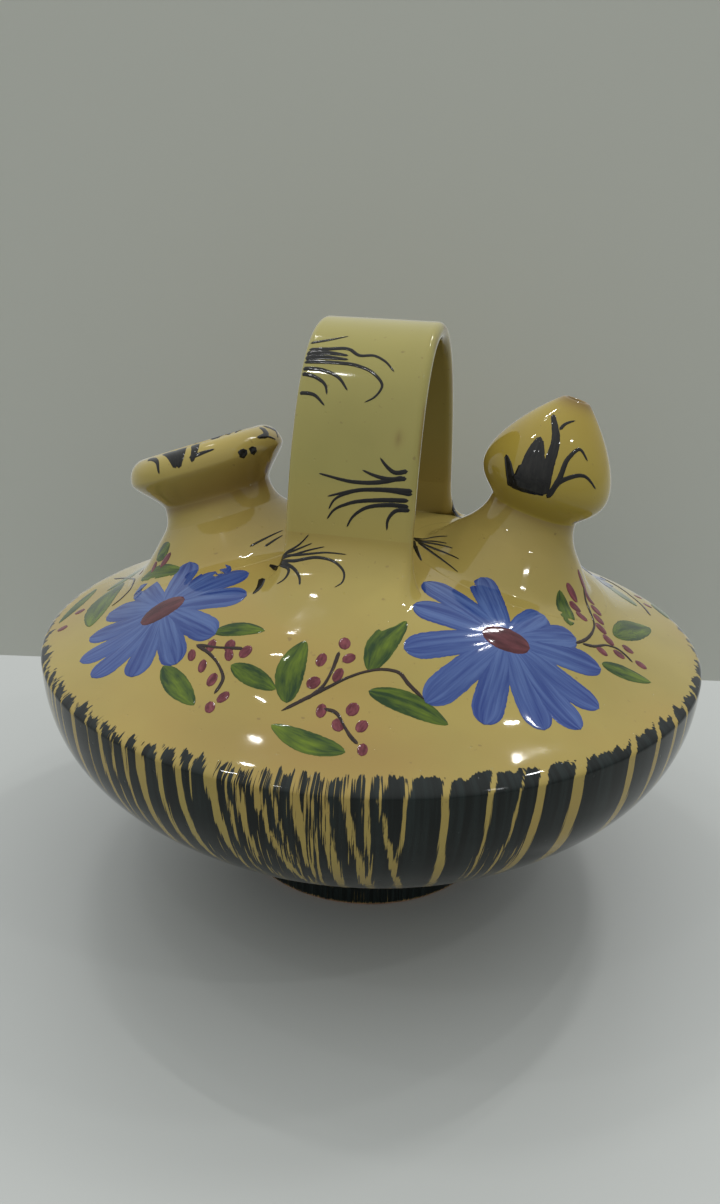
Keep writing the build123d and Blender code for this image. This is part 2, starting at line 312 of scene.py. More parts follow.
def glossy_material(name):
    """Material with the gloss that glaze and fired paint share; returns it with its tree and its shader."""
    material = bpy.data.materials.new(name)
    material.use_nodes = True
    shader = material.node_tree.nodes["Principled BSDF"]
    shader.inputs["IOR"].default_value = glass_bending
    shader.inputs["Specular IOR Level"].default_value = glass_gloss
    return material, material.node_tree, shader


def finish_shader(tree, shader, colour, roughness, height, bump_strength, bump_depth):
    """Give a shader its colour, its roughness and a fine relief."""
    bump = add(tree, "ShaderNodeBump", {"Height": height, "Strength": bump_strength, "Distance": bump_depth})
    looks = {"Base Color": colour, "Roughness": roughness, "Normal": bump.outputs["Normal"]}
    for socket, value in looks.items():
        tree.links.new(value, shader.inputs[socket])


def glaze_material(name, glaze, blush, blush_amount, inked=False, fade_to=None):
    """Glossy glaze over clay, reading a piece's own joint-and-shade, bare, fade and ink marks."""
    material, tree, shader = glossy_material(name)
    marks = {}
    for mark_name in ("joint_and_shade", "bare", "ink_edge", "dry"):
        if inked or mark_name in ("joint_and_shade", "bare"):
            marks[mark_name] = add(tree, "ShaderNodeAttribute", attribute_name=mark_name).outputs["Fac"]
    fired = add(tree, "ShaderNodeGroup", node_tree=glaze_group)
    fired.inputs["Glaze"].default_value = (*glaze, 1.0)
    if fade_to:
        fade_mark = add(tree, "ShaderNodeAttribute", attribute_name="fade").outputs["Fac"]
        tree.links.new(mixed(tree, fade_mark, (*glaze, 1.0), (*fade_to, 1.0)), fired.inputs["Glaze"])
    fired.inputs["Blush"].default_value = (*blush, 1.0)
    fired.inputs["Blush Amount"].default_value = blush_amount
    tree.links.new(marks["joint_and_shade"], fired.inputs["Joint And Shade"])
    tree.links.new(marks["bare"], fired.inputs["Bare"])
    colour = fired.outputs["Color"]
    if inked:
        ink_marks = {"Edge": marks["ink_edge"], "Dry": marks["dry"]}
        brushed = add(tree, "ShaderNodeGroup", ink_marks, node_tree=ink_group)
        colour = mixed(tree, brushed.outputs["Mask"], colour, brushed.outputs["Tone"])
    finish_shader(tree, shader, colour, fired.outputs["Roughness"], fired.outputs["Height"],
                  bump_strength=0.35, bump_depth=0.5 * mm)
    return material


cream = (0.335, 0.265, 0.074)
peach = (0.340, 0.228, 0.062)
striped_glaze = glaze_material("striped_glaze", cream, peach, blush_amount=0.75, inked=True)

# Cream gaps between the brush marks, in degrees round the jug from the front towards the spout: middle at
# the belly, middle some way down the side, and the widths there.
front_gaps = [
    (-56.0, -56.0, 0.8, 0.4), (-53.4, -53.6, 0.7, 0.4), (-50.6, -50.6, 0.8, 0.5), (-48.2, -48.2, 0.8, 0.4),
    (-46.0, -46.0, 0.8, 0.5), (-42.6, -42.9, 0.5, 0.2), (-38.4, -37.6, 1.3, 1.0), (-34.0, -33.6, 0.5, 0.2),
    (-30.6, -28.4, 1.0, 0.6), (-27.6, -26.6, 0.3, 0.1), (-24.8, -24.0, 1.1, 0.3), (-21.8, -20.8, 1.6, 1.2),
    (-18.1, -16.8, 1.0, 0.6), (-14.8, -12.8, 1.1, 0.7), (-12.6, -11.4, 0.3, 0.1), (-9.6, -6.8, 1.7, 0.7),
    (-7.2, -5.0, 0.4, 0.1), (-5.6, -2.6, 0.8, 0.5), (-2.8, 2.0, 1.2, 0.7), (-0.6, 3.2, 0.4, 0.1),
    (2.6, 4.8, 1.0, 0.5), (4.6, 5.4, 0.9, 0.4), (6.6, 8.2, 0.9, 1.2), (9.4, 12.4, 0.9, 1.2),
    (12.0, 13.4, 0.8, 0.2), (13.8, 17.4, 0.7, 0.9), (17.2, 17.0, 0.5, 0.0), (22.4, 23.4, 1.0, 1.4),
    (28.8, 28.6, 0.8, 0.2), (33.2, 31.6, 0.4, 0.6), (36.4, 35.8, 1.3, 1.5), (42.6, 43.0, 2.0, 2.2),
    (53.4, 54.2, 1.4, 1.8), (60.2, 60.4, 1.0, 0.6), (66.0, 65.6, 1.2, 0.6),
]
# The gaps at the back are drawn at random, and so is the ragged end of the ink.
brush_draw = np.random.default_rng(seed=11)
hidden_gaps = []
gap_place, hidden_end = 71.0, 300.0
gap_widths, gap_steps = (0.7, 2.4), (3.4, 8.0)
gap_wander, gap_narrowing = 0.5, 0.6
while gap_place < hidden_end:
    gap_width = brush_draw.uniform(*gap_widths)
    gap_foot = gap_place + brush_draw.normal(0.0, gap_wander)
    hidden_gaps.append((gap_place, gap_foot, gap_width, gap_narrowing * gap_width))
    gap_place += brush_draw.uniform(*gap_steps)
gaps = np.array(front_gaps + hidden_gaps)
tooth_spacing, swell_spacing = 0.6, 4.0
tooth_turns = np.arange(0.0, 360.0, tooth_spacing)
tooth_heights = brush_draw.uniform(-1.0, 1.0, len(tooth_turns))
swell_turns = np.arange(0.0, 360.0, swell_spacing)
tooth_swells = brush_draw.uniform(-1.0, 1.0, len(swell_turns))
ink_line = 119.0 * mm
ink_fall = 3.0 * mm
tooth_size = 1.7 * mm
swell_size = 1.2 * mm
front_turn = 18.0
front_spread = 40.0
belly_climb = 112.0 * mm
gap_drop = 38.0 * mm
gap_last = 1.8
seam_lean, lean_middle = 0.009, 5.0
lean_end, lean_ease = 95.0, 40.0
end_reach = 7.0 * mm
wet_turn = 16.0
left_middle, left_spread, left_dryness = -30.0, 22.0, 0.35
dry_middle, dry_spread = 2.0, 13.0
scratch_middle, scratch_spread, scratch_dryness = 32.0, 5.5, 1.3
scratch_top, scratch_ease = 97.0 * mm, 8.0 * mm
end_dryness = 0.5
deep_inside, well_outside = 90.0, -9.0


def mark_ink(piece, climb, within):
    """Keep, for each point, how far it lies inside a brush mark in mm, and how dry the brush was there.

    climb is each point's way up the side from the foot, and within how far inside the inked part it lies,
    in mm.
    """
    points = points_of(piece)
    turn = np.degrees(np.arctan2(points[:, 0], -points[:, 1]))
    girth = np.linalg.norm(points[:, :2], axis=1) / mm
    lean = (turn - lean_middle) * np.clip((lean_end - np.abs(turn)) / lean_ease, 0.0, 1.0)
    turn = turn - seam_lean * lean * np.maximum(climb - belly_climb, 0.0) / mm
    fall = np.clip((belly_climb - climb) / gap_drop, 0.0, gap_last)
    edge = np.full(len(points), deep_inside)
    for top, low, top_width, low_width in gaps:
        away = np.abs((turn - top - (low - top) * fall + 180.0) % 360.0 - 180.0)
        edge = np.minimum(edge, away - (top_width + (low_width - top_width) * np.minimum(fall, 1.0)) / 2)
    teeth = np.interp(turn, tooth_turns, tooth_heights, period=360.0)
    swells = np.interp(turn, swell_turns, tooth_swells, period=360.0)
    front = np.exp(-((turn - front_turn) / front_spread) ** 2)
    line = ink_line - ink_fall * (1 - front) + teeth * tooth_size + swells * swell_size
    mark(piece, "ink_edge", np.minimum.reduce([np.radians(edge) * girth, (line - climb) / mm, within]))
    middle_dry = np.exp(-((turn - dry_middle) / dry_spread) ** 2)
    low_dry = np.exp(-((turn - scratch_middle) / scratch_spread) ** 2)
    low_dry *= scratch_dryness * np.clip((scratch_top - climb) / scratch_ease, 0.0, 1.0)
    left_dry = left_dryness * np.exp(-((turn - left_middle) / left_spread) ** 2)
    end_dry = end_dryness * np.clip(1.0 - np.abs(line - climb) / end_reach, 0.0, 1.0) * (turn < wet_turn)
    most_dry = np.maximum.reduce([middle_dry, left_dry, low_dry]) + end_dry
    mark(piece, "dry", np.clip(most_dry, 0.0, np.maximum(low_dry, 1.0)))


foot_inner = foot_radius - foot_width
foot_outline = np.concatenate([
    curve([(foot_inner, foot_height), (foot_inner, foot_edge)], rows=8),
    corner((foot_inner + foot_edge, foot_edge), foot_edge, start=180, end=270),
    curve([(foot_inner + foot_edge, 0), (foot_radius - foot_edge, 0)], rows=8),
    corner((foot_radius - foot_edge, foot_edge), foot_edge, start=270, end=360),
    curve([(foot_radius, foot_edge), (foot_radius, foot_height)], rows=10),
])
foot_ring = clay_piece("foot_ring", turned_rings(foot_outline, body_columns), closed=True)
foot_points = points_of(foot_ring)
foot_outside = np.linalg.norm(foot_points[:, :2], axis=1) > foot_radius - foot_edge
wiped_edge = 1.3 * mm
foot_glazed = np.where(foot_outside, (foot_points[:, 2] - wiped_edge) / mm, well_outside)
mark(foot_ring, "ink_edge", foot_glazed)
foot_dryness = 0.55
mark(foot_ring, "dry", np.full(len(foot_points), foot_dryness))
wiped_ease = 0.5
mark(foot_ring, "bare", np.clip(wiped_ease - foot_glazed, 0.0, 1.0))
seat_piece(foot_ring, "foot_ring", striped_glaze)

# Lower bowl
# The lower half of the body, thrown as an open bowl on the wheel and stuck to the foot. Its side swells to
# the belly, where the dome is joined on with slip.
belly_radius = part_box("lower_bowl")[1][0]
belly_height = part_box("lower_bowl")[1][2]
bowl_wall = 6.0 * mm
bowl_foot_slope = math.radians(35.8)
bowl_foot_pull = 56.1 * mm
bowl_belly_pull = 38.2 * mm


def bowl_line(inset, rows):
    """Points of the bowl's side in (radius, height), moved inwards by inset, from the foot to the belly."""
    rise, run = math.sin(bowl_foot_slope), math.cos(bowl_foot_slope)
    start = np.array([foot_radius - inset * rise, foot_height + inset * run])
    return curve([
        start,
        start + bowl_foot_pull * np.array([run, rise]),
        (belly_radius - inset, belly_height - bowl_belly_pull),
        (belly_radius - inset, belly_height),
    ], rows)


bowl_outer = bowl_line(0.0, rows=56)
bowl_inner = bowl_line(bowl_wall, rows=12)[::-1]
bowl_floor_radius, bowl_floor = bowl_inner[-1]
bowl_outline = np.concatenate([
    [(0.0, foot_height), (foot_inner, foot_height)],
    bowl_outer, bowl_inner,
    [(bowl_floor_radius / 2, bowl_floor), (0.0, bowl_floor)],
])
bowl_rings = turned_rings(bowl_outline, body_columns)
lower_bowl = clay_piece("lower_bowl", bowl_rings)


def way_along(outline):
    """Distance along an outline from its first point to each of its points."""
    return np.concatenate([[0.0], np.cumsum(np.linalg.norm(np.diff(outline, axis=0), axis=1))])


def by_ring(rings, values):
    """One value for each point, from one value for each ring."""
    return np.repeat(values, [len(ring) for ring in rings])


under_rows = 2
outside_rows = slice(under_rows, under_rows + len(bowl_outer))
bowl_glazed = np.full(len(bowl_rings), well_outside)
bowl_glazed[outside_rows] = deep_inside
bowl_climb = np.zeros(len(bowl_rings))
bowl_climb[outside_rows] = way_along(bowl_outer)
mark_ink(lower_bowl, by_ring(bowl_rings, bowl_climb), by_ring(bowl_rings, bowl_glazed))
mark(lower_bowl, "bare", by_ring(bowl_rings, np.clip(-bowl_glazed, 0.0, 1.0)))
seat_piece(lower_bowl, "lower_bowl", striped_glaze)

# Upper dome
# The upper half of the body: a tight shoulder, a slightly hollow flank and a round crown, thrown apart from
# the bowl and luted rim to rim. Two holes are cut through it under the necks before they are stuck on.
dome_wall = 6.0 * mm
crown_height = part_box("upper_dome")[1][2]
flank_radius = 87.1 * mm
flank_height = 107.3 * mm
flank_slope = math.radians(40.0)
shoulder_pull = 4.1 * mm
flank_lower_pull = 20.1 * mm
flank_upper_pull = 19.4 * mm
crown_pull = 49.7 * mm


def dome_line(inset, rows):
    """Points of the dome's side in (radius, height), moved inwards by inset, from the belly to the crown."""
    flank = (flank_radius - inset * math.sin(flank_slope), flank_height - inset * math.cos(flank_slope))
    lean = np.array([math.cos(flank_slope), -math.sin(flank_slope)])
    shoulder_curve = curve([
        (belly_radius - inset, belly_height),
        (belly_radius - inset, belly_height + shoulder_pull),
        np.array(flank) + lean * flank_lower_pull,
        flank,
    ], rows)
    crown_curve = curve([
        flank,
        np.array(flank) - lean * flank_upper_pull,
        (crown_pull, crown_height - inset),
        (0.0, crown_height - inset),
    ], rows)
    return np.concatenate([shoulder_curve[:-1], crown_curve])


dome_outer = dome_line(0.0, rows=42)
dome_inner = dome_line(dome_wall, rows=8)
upper_dome = clay_piece(
    "upper_dome", turned_rings(np.concatenate([dome_outer[::-1], dome_inner]), body_columns))


def dome_height(points):
    """Height of the dome's outside over points in plan."""
    reach = np.linalg.norm(points[..., :2], axis=-1)
    return np.interp(reach, dome_outer[::-1, 0], dome_outer[::-1, 1])


def onto_dome(points, axis):
    """Slide points along an axis until they lie on the dome's outside."""
    reach = 70.0 * mm
    low = np.full(points.shape[:-1], -reach)
    high = np.full(points.shape[:-1], reach)
    halvings = 40
    for _ in range(halvings):
        middle = (low + high) / 2
        tried = points + middle[..., None] * axis
        above = tried[..., 2] > dome_height(tried)
        high = np.where(above, middle, high)
        low = np.where(above, low, middle)
    return points + low[..., None] * axis


def neck_axis(lean, rear_lean, side):
    """Direction of a neck that leans outwards to one side and to the rear, by angles in degrees."""
    across, back = side * math.sin(math.radians(lean)), math.sin(math.radians(rear_lean))
    return np.array([across, back, math.sqrt(1 - across ** 2 - back ** 2)])


def neck_seat(reach):
    """Point on the dome below a neck, at a reach towards the spout; a negative one is to the filler."""
    return np.array([reach, 0.0, dome_height(np.array([reach, 0.0]))])


filler_reach = 56.0 * mm
filler_axis = neck_axis(lean=19.5, rear_lean=5.0, side=-1)
filler_seat = neck_seat(-filler_reach)
filler_neck_radius = 20.2 * mm
filler_wall = 5.0 * mm
spout_reach = 51.0 * mm
spout_axis = neck_axis(lean=16.2, rear_lean=5.0, side=1)
spout_seat = neck_seat(spout_reach)
spout_neck_radius = 15.6 * mm
spout_wall = 4.5 * mm
cutter_half = 25.0 * mm
cutter_columns = 96
for seat, axis, hole_radius in (
    (filler_seat, filler_axis, filler_neck_radius - filler_wall),
    (spout_seat, spout_axis, spout_neck_radius - spout_wall),
):
    cutter_outline = [(0.0, -cutter_half), (hole_radius, -cutter_half),
                      (hole_radius, cutter_half), (0.0, cutter_half)]
    cutter = clay_piece("hole_cutter", turned_rings(cutter_outline, cutter_columns, seat, axis))
    hole = upper_dome.modifiers.new("hole", "BOOLEAN")
    hole.operation = "DIFFERENCE"
    hole.object = cutter
    drilled = worked_mesh(upper_dome)
    upper_dome.modifiers.remove(hole)
    upper_dome.data = drilled
    bpy.data.objects.remove(cutter)
upper_dome.data.set_sharp_from_angle(angle=math.radians(sharp_angle))
dome_points = points_of(upper_dome)
dome_girth = np.interp(dome_points[:, 2], dome_outer[:, 1], dome_outer[:, 0])
dome_outside = np.linalg.norm(dome_points[:, :2], axis=1) > dome_girth - dome_wall / 3
dome_climb = belly_climb + np.interp(dome_points[:, 2], dome_outer[:, 1], way_along(dome_outer))
mark_ink(upper_dome, dome_climb, np.where(dome_outside, deep_inside, well_outside))
mark(upper_dome, "bare", np.where(dome_outside, 0.0, 1.0))
# Above the ink the glaze pooled a little darker, most of all at the front.
pool_middle, pool_spread, pool_strength = ink_line + 7.0 * mm, 12.0 * mm, 0.32
pool_turn, pool_reach = 8.0, 40.0
dome_turn = np.degrees(np.arctan2(dome_points[:, 0], -dome_points[:, 1]))
pool_front = np.exp(-((dome_turn - pool_turn) / pool_reach) ** 2)
pool_height = np.exp(-((dome_climb - pool_middle) / pool_spread) ** 2)
mark(upper_dome, "joint_and_shade", pool_strength * pool_front * pool_height)
seat_piece(upper_dome, "upper_dome", striped_glaze)

# Filler neck
# The short waisted neck that water is poured in through, thrown as a collar, stuck over the larger hole and
# leaning out and a little back.
filler_base_radius = 22.3 * mm
filler_base_rise = 7.4 * mm
filler_taper_rise = 10.3 * mm
filler_neck_rise = 14.8 * mm
neck_columns = 256
neck_root = 5.0 * mm


def neck_outline(base_radius, base_rise, taper_rise, top_radius, top_rise, wall):
    """Outline of a tube that tapers, above its base coil, to the crease under the next piece."""
    inner = top_radius - wall
    return np.concatenate([
        curve([(base_radius, -neck_root), (base_radius, base_rise)], rows=6),
        curve([(base_radius, base_rise), (top_radius, taper_rise), (top_radius, top_rise)], rows=18)[1:],
        curve([(inner, top_rise), (inner, -neck_root)], rows=10),
    ])


def neck_piece(name, outline, seat, axis, crease_rise, crease_spread, crease_strength):
    """Clay piece turned about a neck's axis, darker round a crease on it from slip smeared into the crease;
    under the filler's lip this dark is also painted shade.
    """
    piece = clay_piece(name, turned_rings(outline, neck_columns, seat, axis), closed=True)
    height = (points_of(piece) - seat) @ axis
    mark(piece, "joint_and_shade", crease_strength * np.exp(-((height - crease_rise) / crease_spread) ** 2))
    return piece


filler_neck_outline = neck_outline(
    filler_base_radius, filler_base_rise, filler_taper_rise,
    filler_neck_radius, filler_neck_rise, filler_wall)
# The top of the neck is darkened just below the lip: slip in the crease, and painted shade under the lip.
filler_neck = neck_piece(
    "filler_neck", filler_neck_outline, filler_seat, filler_axis, filler_neck_rise,
    crease_spread=2.6 * mm, crease_strength=0.75)
cream_glaze = glaze_material("cream_glaze", cream, peach, blush_amount=0.55)
seat_piece(filler_neck, "filler_neck", cream_glaze)

# Filler lip
# The wide rim at the top of the filler: it flares out above a crease, rounds over to the mouth and is hollow
# below it.
filler_lip_radius = 29.0 * mm
filler_lip_widest = filler_neck_rise + 11.8 * mm
filler_rim = filler_neck_rise + 19.6 * mm
filler_lip_low_pull = 2.9 * mm
filler_lip_high_pull = 2.4 * mm
filler_lip_round = 7.0 * mm
filler_mouth_round = 3.5 * mm
filler_hollow_cover = 3.0 * mm
filler_hollow_rise = 4.2 * mm
filler_rim_radius = filler_lip_radius - filler_lip_round
filler_mouth = (filler_rim_radius - filler_mouth_round, filler_rim - filler_mouth_round)
quarter = 0.55
filler_lip_outline = np.concatenate([
    curve([(filler_neck_radius, filler_neck_rise),
           (filler_neck_radius, filler_neck_rise + filler_lip_low_pull),
           (filler_lip_radius, filler_lip_widest - filler_lip_high_pull),
           (filler_lip_radius, filler_lip_widest)], rows=22),
    curve([(filler_lip_radius, filler_lip_widest),
           (filler_lip_radius, filler_lip_widest + quarter * (filler_rim - filler_lip_widest)),
           (filler_rim_radius + quarter * filler_lip_round, filler_rim),
           (filler_rim_radius, filler_rim)], rows=20)[1:],
    curve([(filler_rim_radius, filler_rim),
           (filler_rim_radius - quarter * filler_mouth_round, filler_rim),
           (filler_mouth[0], filler_mouth[1] + quarter * filler_mouth_round),
           filler_mouth], rows=12)[1:],
    curve([filler_mouth, (filler_lip_radius - filler_hollow_cover, filler_lip_widest),
           (filler_neck_radius, filler_neck_rise + filler_hollow_rise),
           (filler_neck_radius - filler_wall, filler_neck_rise)], rows=18)[1:],
])
# The lip is darkened outwards from its crease: glaze pooled in the crease, and painted shade under the
# overhanging rim.
filler_lip = neck_piece(
    "filler_lip", filler_lip_outline, filler_seat, filler_axis, filler_neck_rise,
    crease_spread=8.32 * mm, crease_strength=0.6)
seat_piece(filler_lip, "filler_lip", cream_glaze)

# Filler base coil
# The coil of soft clay smoothed by thumb into the corner between the filler neck and the dome.
filler_coil_edge = (42.0 * mm, -11.0 * mm)
filler_coil_hollow = (27.0 * mm, 2.0 * mm)


def coil_rings(seat, axis, top, hollow, edge, columns, rows=30):
    """Rings of a concave coil from the neck to its edge, eased onto the dome where it would sink into it."""
    bury = 0.4 * mm
    ease = 1.6 * mm
    settle_power = 6
    rings = []
    for share, (radius, rise) in zip(np.linspace(0.0, 1.0, rows + 2), curve([top, hollow, edge], rows)):
        level = turned_rings([(radius, 0.0)], columns, seat, axis)[0]
        ground = onto_dome(level, axis)
        above = rise - (ground - level) @ axis
        eased = (above + np.sqrt(above ** 2 + (ease * share) ** 2)) / 2 * (1 - share ** settle_power)
        rings.append(ground + axis * eased[:, None])
    under = rings[-1] - axis * bury
    inside = onto_dome(turned_rings([(top[0] - bury, 0.0)], columns, seat, axis)[0], axis) - axis * bury
    inner_top = turned_rings([(top[0] - bury, top[1] - bury)], columns, seat, axis)[0]
    return rings + [under, inside, inner_top]


filler_base_coil = clay_piece("filler_base_coil", coil_rings(
    filler_seat, filler_axis, (filler_base_radius, filler_base_rise), filler_coil_hollow, filler_coil_edge,
    neck_columns), closed=True)
seat_piece(filler_base_coil, "filler_base_coil", cream_glaze)

# Spout neck
# The narrow neck under the drinking spout, a small thrown tube that tapers up from its coil.
spout_base_radius = 20.3 * mm
spout_base_rise = 8.2 * mm
spout_taper_rise = 13.7 * mm
spout_neck_rise = 18.8 * mm
spout_neck_outline = neck_outline(
    spout_base_radius, spout_base_rise, spout_taper_rise, spout_neck_radius, spout_neck_rise, spout_wall)
spout_neck = neck_piece(
    "spout_neck", spout_neck_outline, spout_seat, spout_axis, spout_neck_rise,
    crease_spread=1.82 * mm, crease_strength=0.4)
seat_piece(spout_neck, "spout_neck", cream_glaze)

# Spout bulb
# The turnip-shaped drinking spout, thrown hollow and pierced at its tip with a fine hole for the jet of
# water. The chipped clay round the hole is darker.
spout_bulb_radius = 22.6 * mm
spout_bulb_widest = spout_neck_rise + 11.6 * mm
spout_tip_rise = spout_neck_rise + 39.7 * mm
spout_bulb_low_pull = 2.0 * mm
spout_bulb_high_pull = 6.7 * mm
spout_shoulder_pull = 8.6 * mm
spout_tip_radius = 5.0 * mm
spout_tip_slope = math.radians(42.0)
spout_tip_pull = 10.0 * mm
spout_hole_radius = 3.2 * mm
spout_hole_length = 4.0 * mm
spout_tip_round = 0.9 * mm


def bulb_side(inset, tip_radius, tip_rise, rows):
    """Points of the bulb's side in (radius, rise), moved inwards by inset, from the crease to the tip."""
    base, widest = spout_neck_radius - inset, spout_bulb_radius - inset
    under = curve([(base, spout_neck_rise),
                   (base, spout_neck_rise + spout_bulb_low_pull),
                   (widest, spout_bulb_widest - spout_bulb_high_pull + inset / 2),
                   (widest, spout_bulb_widest)], rows)
    upper = curve([(widest, spout_bulb_widest),
                   (widest, spout_bulb_widest + spout_shoulder_pull),
                   (tip_radius + spout_tip_pull * math.cos(spout_tip_slope),
                    tip_rise - spout_tip_pull * math.sin(spout_tip_slope)),
                   (tip_radius, tip_rise)], 2 * rows)
    return np.concatenate([under[:-1], upper])


spout_tip_centre = (spout_hole_radius + spout_tip_round, spout_tip_rise - spout_tip_round)
spout_bulb_outline = np.concatenate([
    bulb_side(0.0, spout_tip_radius, spout_tip_rise - spout_tip_round / 2, rows=22),
    corner(spout_tip_centre, spout_tip_round, start=70, end=180),
    bulb_side(spout_wall, spout_hole_radius, spout_tip_rise - spout_hole_length, rows=12)[::-1],
])
spout_bulb = neck_piece(
    "spout_bulb", spout_bulb_outline, spout_seat, spout_axis, spout_tip_rise + spout_tip_round,
    crease_spread=3.12 * mm, crease_strength=1.0)
yellow = (0.335, 0.265, 0.054)
amber = (0.305, 0.215, 0.034)
bulb_glaze = glaze_material("bulb_glaze", yellow, amber, blush_amount=0.7)
seat_piece(spout_bulb, "spout_bulb", bulb_glaze)

# Spout base coil
# The coil smoothed in round the foot of the spout's neck.
spout_coil_edge = (37.0 * mm, -11.0 * mm)
spout_coil_hollow = (25.2 * mm, 2.9 * mm)
spout_base_coil = clay_piece("spout_base_coil", coil_rings(
    spout_seat, spout_axis, (spout_base_radius, spout_base_rise), spout_coil_hollow, spout_coil_edge,
    neck_columns), closed=True)
seat_piece(spout_base_coil, "spout_base_coil", cream_glaze)

# Strap handle
# The flat strap that carries the jug, pulled or cut from a slab, rounded along its edges and bent into an
# arch. Its edges are worn in patches, and its inner face carries painted shade.
strap_low, strap_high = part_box("strap_handle")
handle_height = strap_high[2]
strap_width = strap_high[0] - strap_low[0]
strap_thickness = 6.0 * mm
strap_edge = 2.6 * mm
strap_leg_reach = 44.8 * mm
strap_leg_base = 126.0 * mm
strap_leg_lean = math.radians(4.9)
strap_leg_pull = 62.6 * mm
strap_crown_pull = 18.1 * mm
strap_foot = strap_low[2]
strap_curve = curve([
    (strap_leg_reach, strap_leg_base),
    (strap_leg_reach - strap_leg_pull * math.sin(strap_leg_lean),
     strap_leg_base + strap_leg_pull * math.cos(strap_leg_lean)),
    (strap_crown_pull, handle_height),
    (0.0, handle_height),
], rows=160)
strap_curve = strap_curve[strap_curve[:, 1] >= strap_foot]
strap_line = np.concatenate([strap_curve, strap_curve[-2::-1] * (-1.0, 1.0)])

half_width = strap_width / 2
half_thickness = strap_thickness / 2
flat_width = half_width - strap_edge
flat_depth = half_thickness - strap_edge
strap_section = np.concatenate([
    curve([(flat_width, half_thickness), (-flat_width, half_thickness)], rows=26),
    corner((-flat_width, flat_depth), strap_edge, start=90, end=180)[1:],
    corner((-flat_width, -flat_depth), strap_edge, start=180, end=270),
    curve([(-flat_width, -half_thickness), (flat_width, -half_thickness)], rows=26)[1:],
    corner((flat_width, -flat_depth), strap_edge, start=270, end=360)[1:],
    corner((flat_width, flat_depth), strap_edge, start=0, end=90)[:-1],
])


def strap_ring(place, ahead):
    """The strap's section across its path: place is on the outer face, ahead points along the path."""
    outward = np.array([ahead[1], -ahead[0]]) / np.linalg.norm(ahead)
    depth = strap_section[:, 1] - half_thickness
    return np.stack([
        strap_section[:, 0],
        place[0] + outward[0] * depth,
        place[1] + outward[1] * depth,
    ], 1)


strap_ahead = np.gradient(strap_line, axis=0)
strap_rings = [strap_ring(place, ahead) for place, ahead in zip(strap_line, strap_ahead)]
strap_ends = [strap_rings[0].mean(0)[None], strap_rings[-1].mean(0)[None]]
strap_handle = clay_piece("strap_handle", strap_ends[:1] + strap_rings + strap_ends[1:])
straw = (0.290, 0.255, 0.078)
straw_pale = (0.325, 0.280, 0.098)
strap_glaze = glaze_material("strap_glaze", straw, straw_pale, blush_amount=0.4, fade_to=cream)
strap_points = points_of(strap_handle)
wear_width, wear_strength = 0.9 * mm, 0.75
patch_rise, patch_depth = 5.3 * mm, 3.1 * mm
edge_wear = np.clip((np.abs(strap_points[:, 0]) - half_width + wear_width) / wear_width, 0.0, 1.0)
edge_patch = np.sin(strap_points[:, 2] / patch_rise) + np.sin(strap_points[:, 1] / patch_depth)
worn = wear_strength * edge_wear * np.clip(edge_patch, 0.0, 1.0)


def painted_inner_shade(rows):
    """Painted shade on the inner side of the strap's section, over a number of rows between two poles."""
    strength = 0.34
    inner_side = np.tile(strap_section[:, 1] < -flat_depth, rows)
    return strength * np.concatenate([[0.0], inner_side, [0.0]])


fade_top, fade_low = 160.0 * mm, strap_foot
mark(strap_handle, "fade", np.clip((fade_top - strap_points[:, 2]) / (fade_top - fade_low), 0.0, 1.0))
smudge_place, smudge_size = np.array([14.3, 171.0]) * mm, np.array([1.1, 2.4]) * mm
smudge_strength = 0.6
smudge_away = (strap_points[:, [0, 2]] - smudge_place) / smudge_size
smudge = smudge_strength * np.exp(-(smudge_away ** 2).sum(1)) * (strap_points[:, 1] < 0.0)
# The strap's darkening holds its worn edges and a smudge, and painted shade on its inner face.
mark(strap_handle, "joint_and_shade", np.maximum.reduce([worn, painted_inner_shade(len(strap_rings)), smudge]))
seat_piece(strap_handle, "strap_handle", strap_glaze)

# Handle roots
# The two ends of the strap, splayed by thumb into broad tongues and smoothed down onto the dome, the outer
# side further than the inner one. The tip of each tongue is drawn a little to one side.
root_half_width = 27.0 * mm
root_middle = 50.0 * mm
root_outer_reach = 26.0 * mm
root_inner_reach = 14.0 * mm
root_tip_shift = 5.0 * mm
root_lump, root_least_lump = 3.2 * mm, 0.35
root_spread_power, root_fall_power = 2.0, 2.3
root_rows = 30
root_sharp = 60.0


def root_rings(turn):
    """Rings of a tongue from the strap's end down to its place on the dome, turned about the jug's axis."""
    bury = 0.4 * mm
    top = strap_rings[0]
    angle = np.arctan2(strap_section[:, 1] / half_thickness, strap_section[:, 0] / half_width)
    side, out = np.cos(angle), np.sin(angle)
    reach = np.where(out > 0, root_outer_reach, root_inner_reach)
    foot = np.stack([
        root_half_width * side - root_tip_shift * np.maximum(out, 0.0) ** 2,
        root_middle + reach * out,
    ], 1)
    over_dome = top[:, 2] - dome_height(top)
    lump = root_lump * (root_least_lump + (1 - root_least_lump) * np.maximum(out, 0.0))
    rings = []
    for q in np.linspace(0.0, 1.0, root_rows):
        plan = top[:, :2] + (foot - top[:, :2]) * q ** root_spread_power
        rise = (over_dome - lump) * (1 - q) ** root_fall_power + lump * (1 - q ** 2) ** 2
        ring = np.concatenate([plan, np.zeros((len(plan), 1))], 1)
        ring[:, 2] = dome_height(ring) + rise
        rings.append(ring)
    hidden = rings[-1].copy()
    hidden[:, 2] -= bury
    bottom = hidden.mean(0)
    bottom[2] = dome_height(bottom) - bury
    tongue = [top.mean(0)[None]] + rings + [hidden, bottom[None]]
    spin = np.array([[math.cos(turn), -math.sin(turn), 0], [math.sin(turn), math.cos(turn), 0], [0, 0, 1]])
    return [ring @ spin.T for ring in tongue]


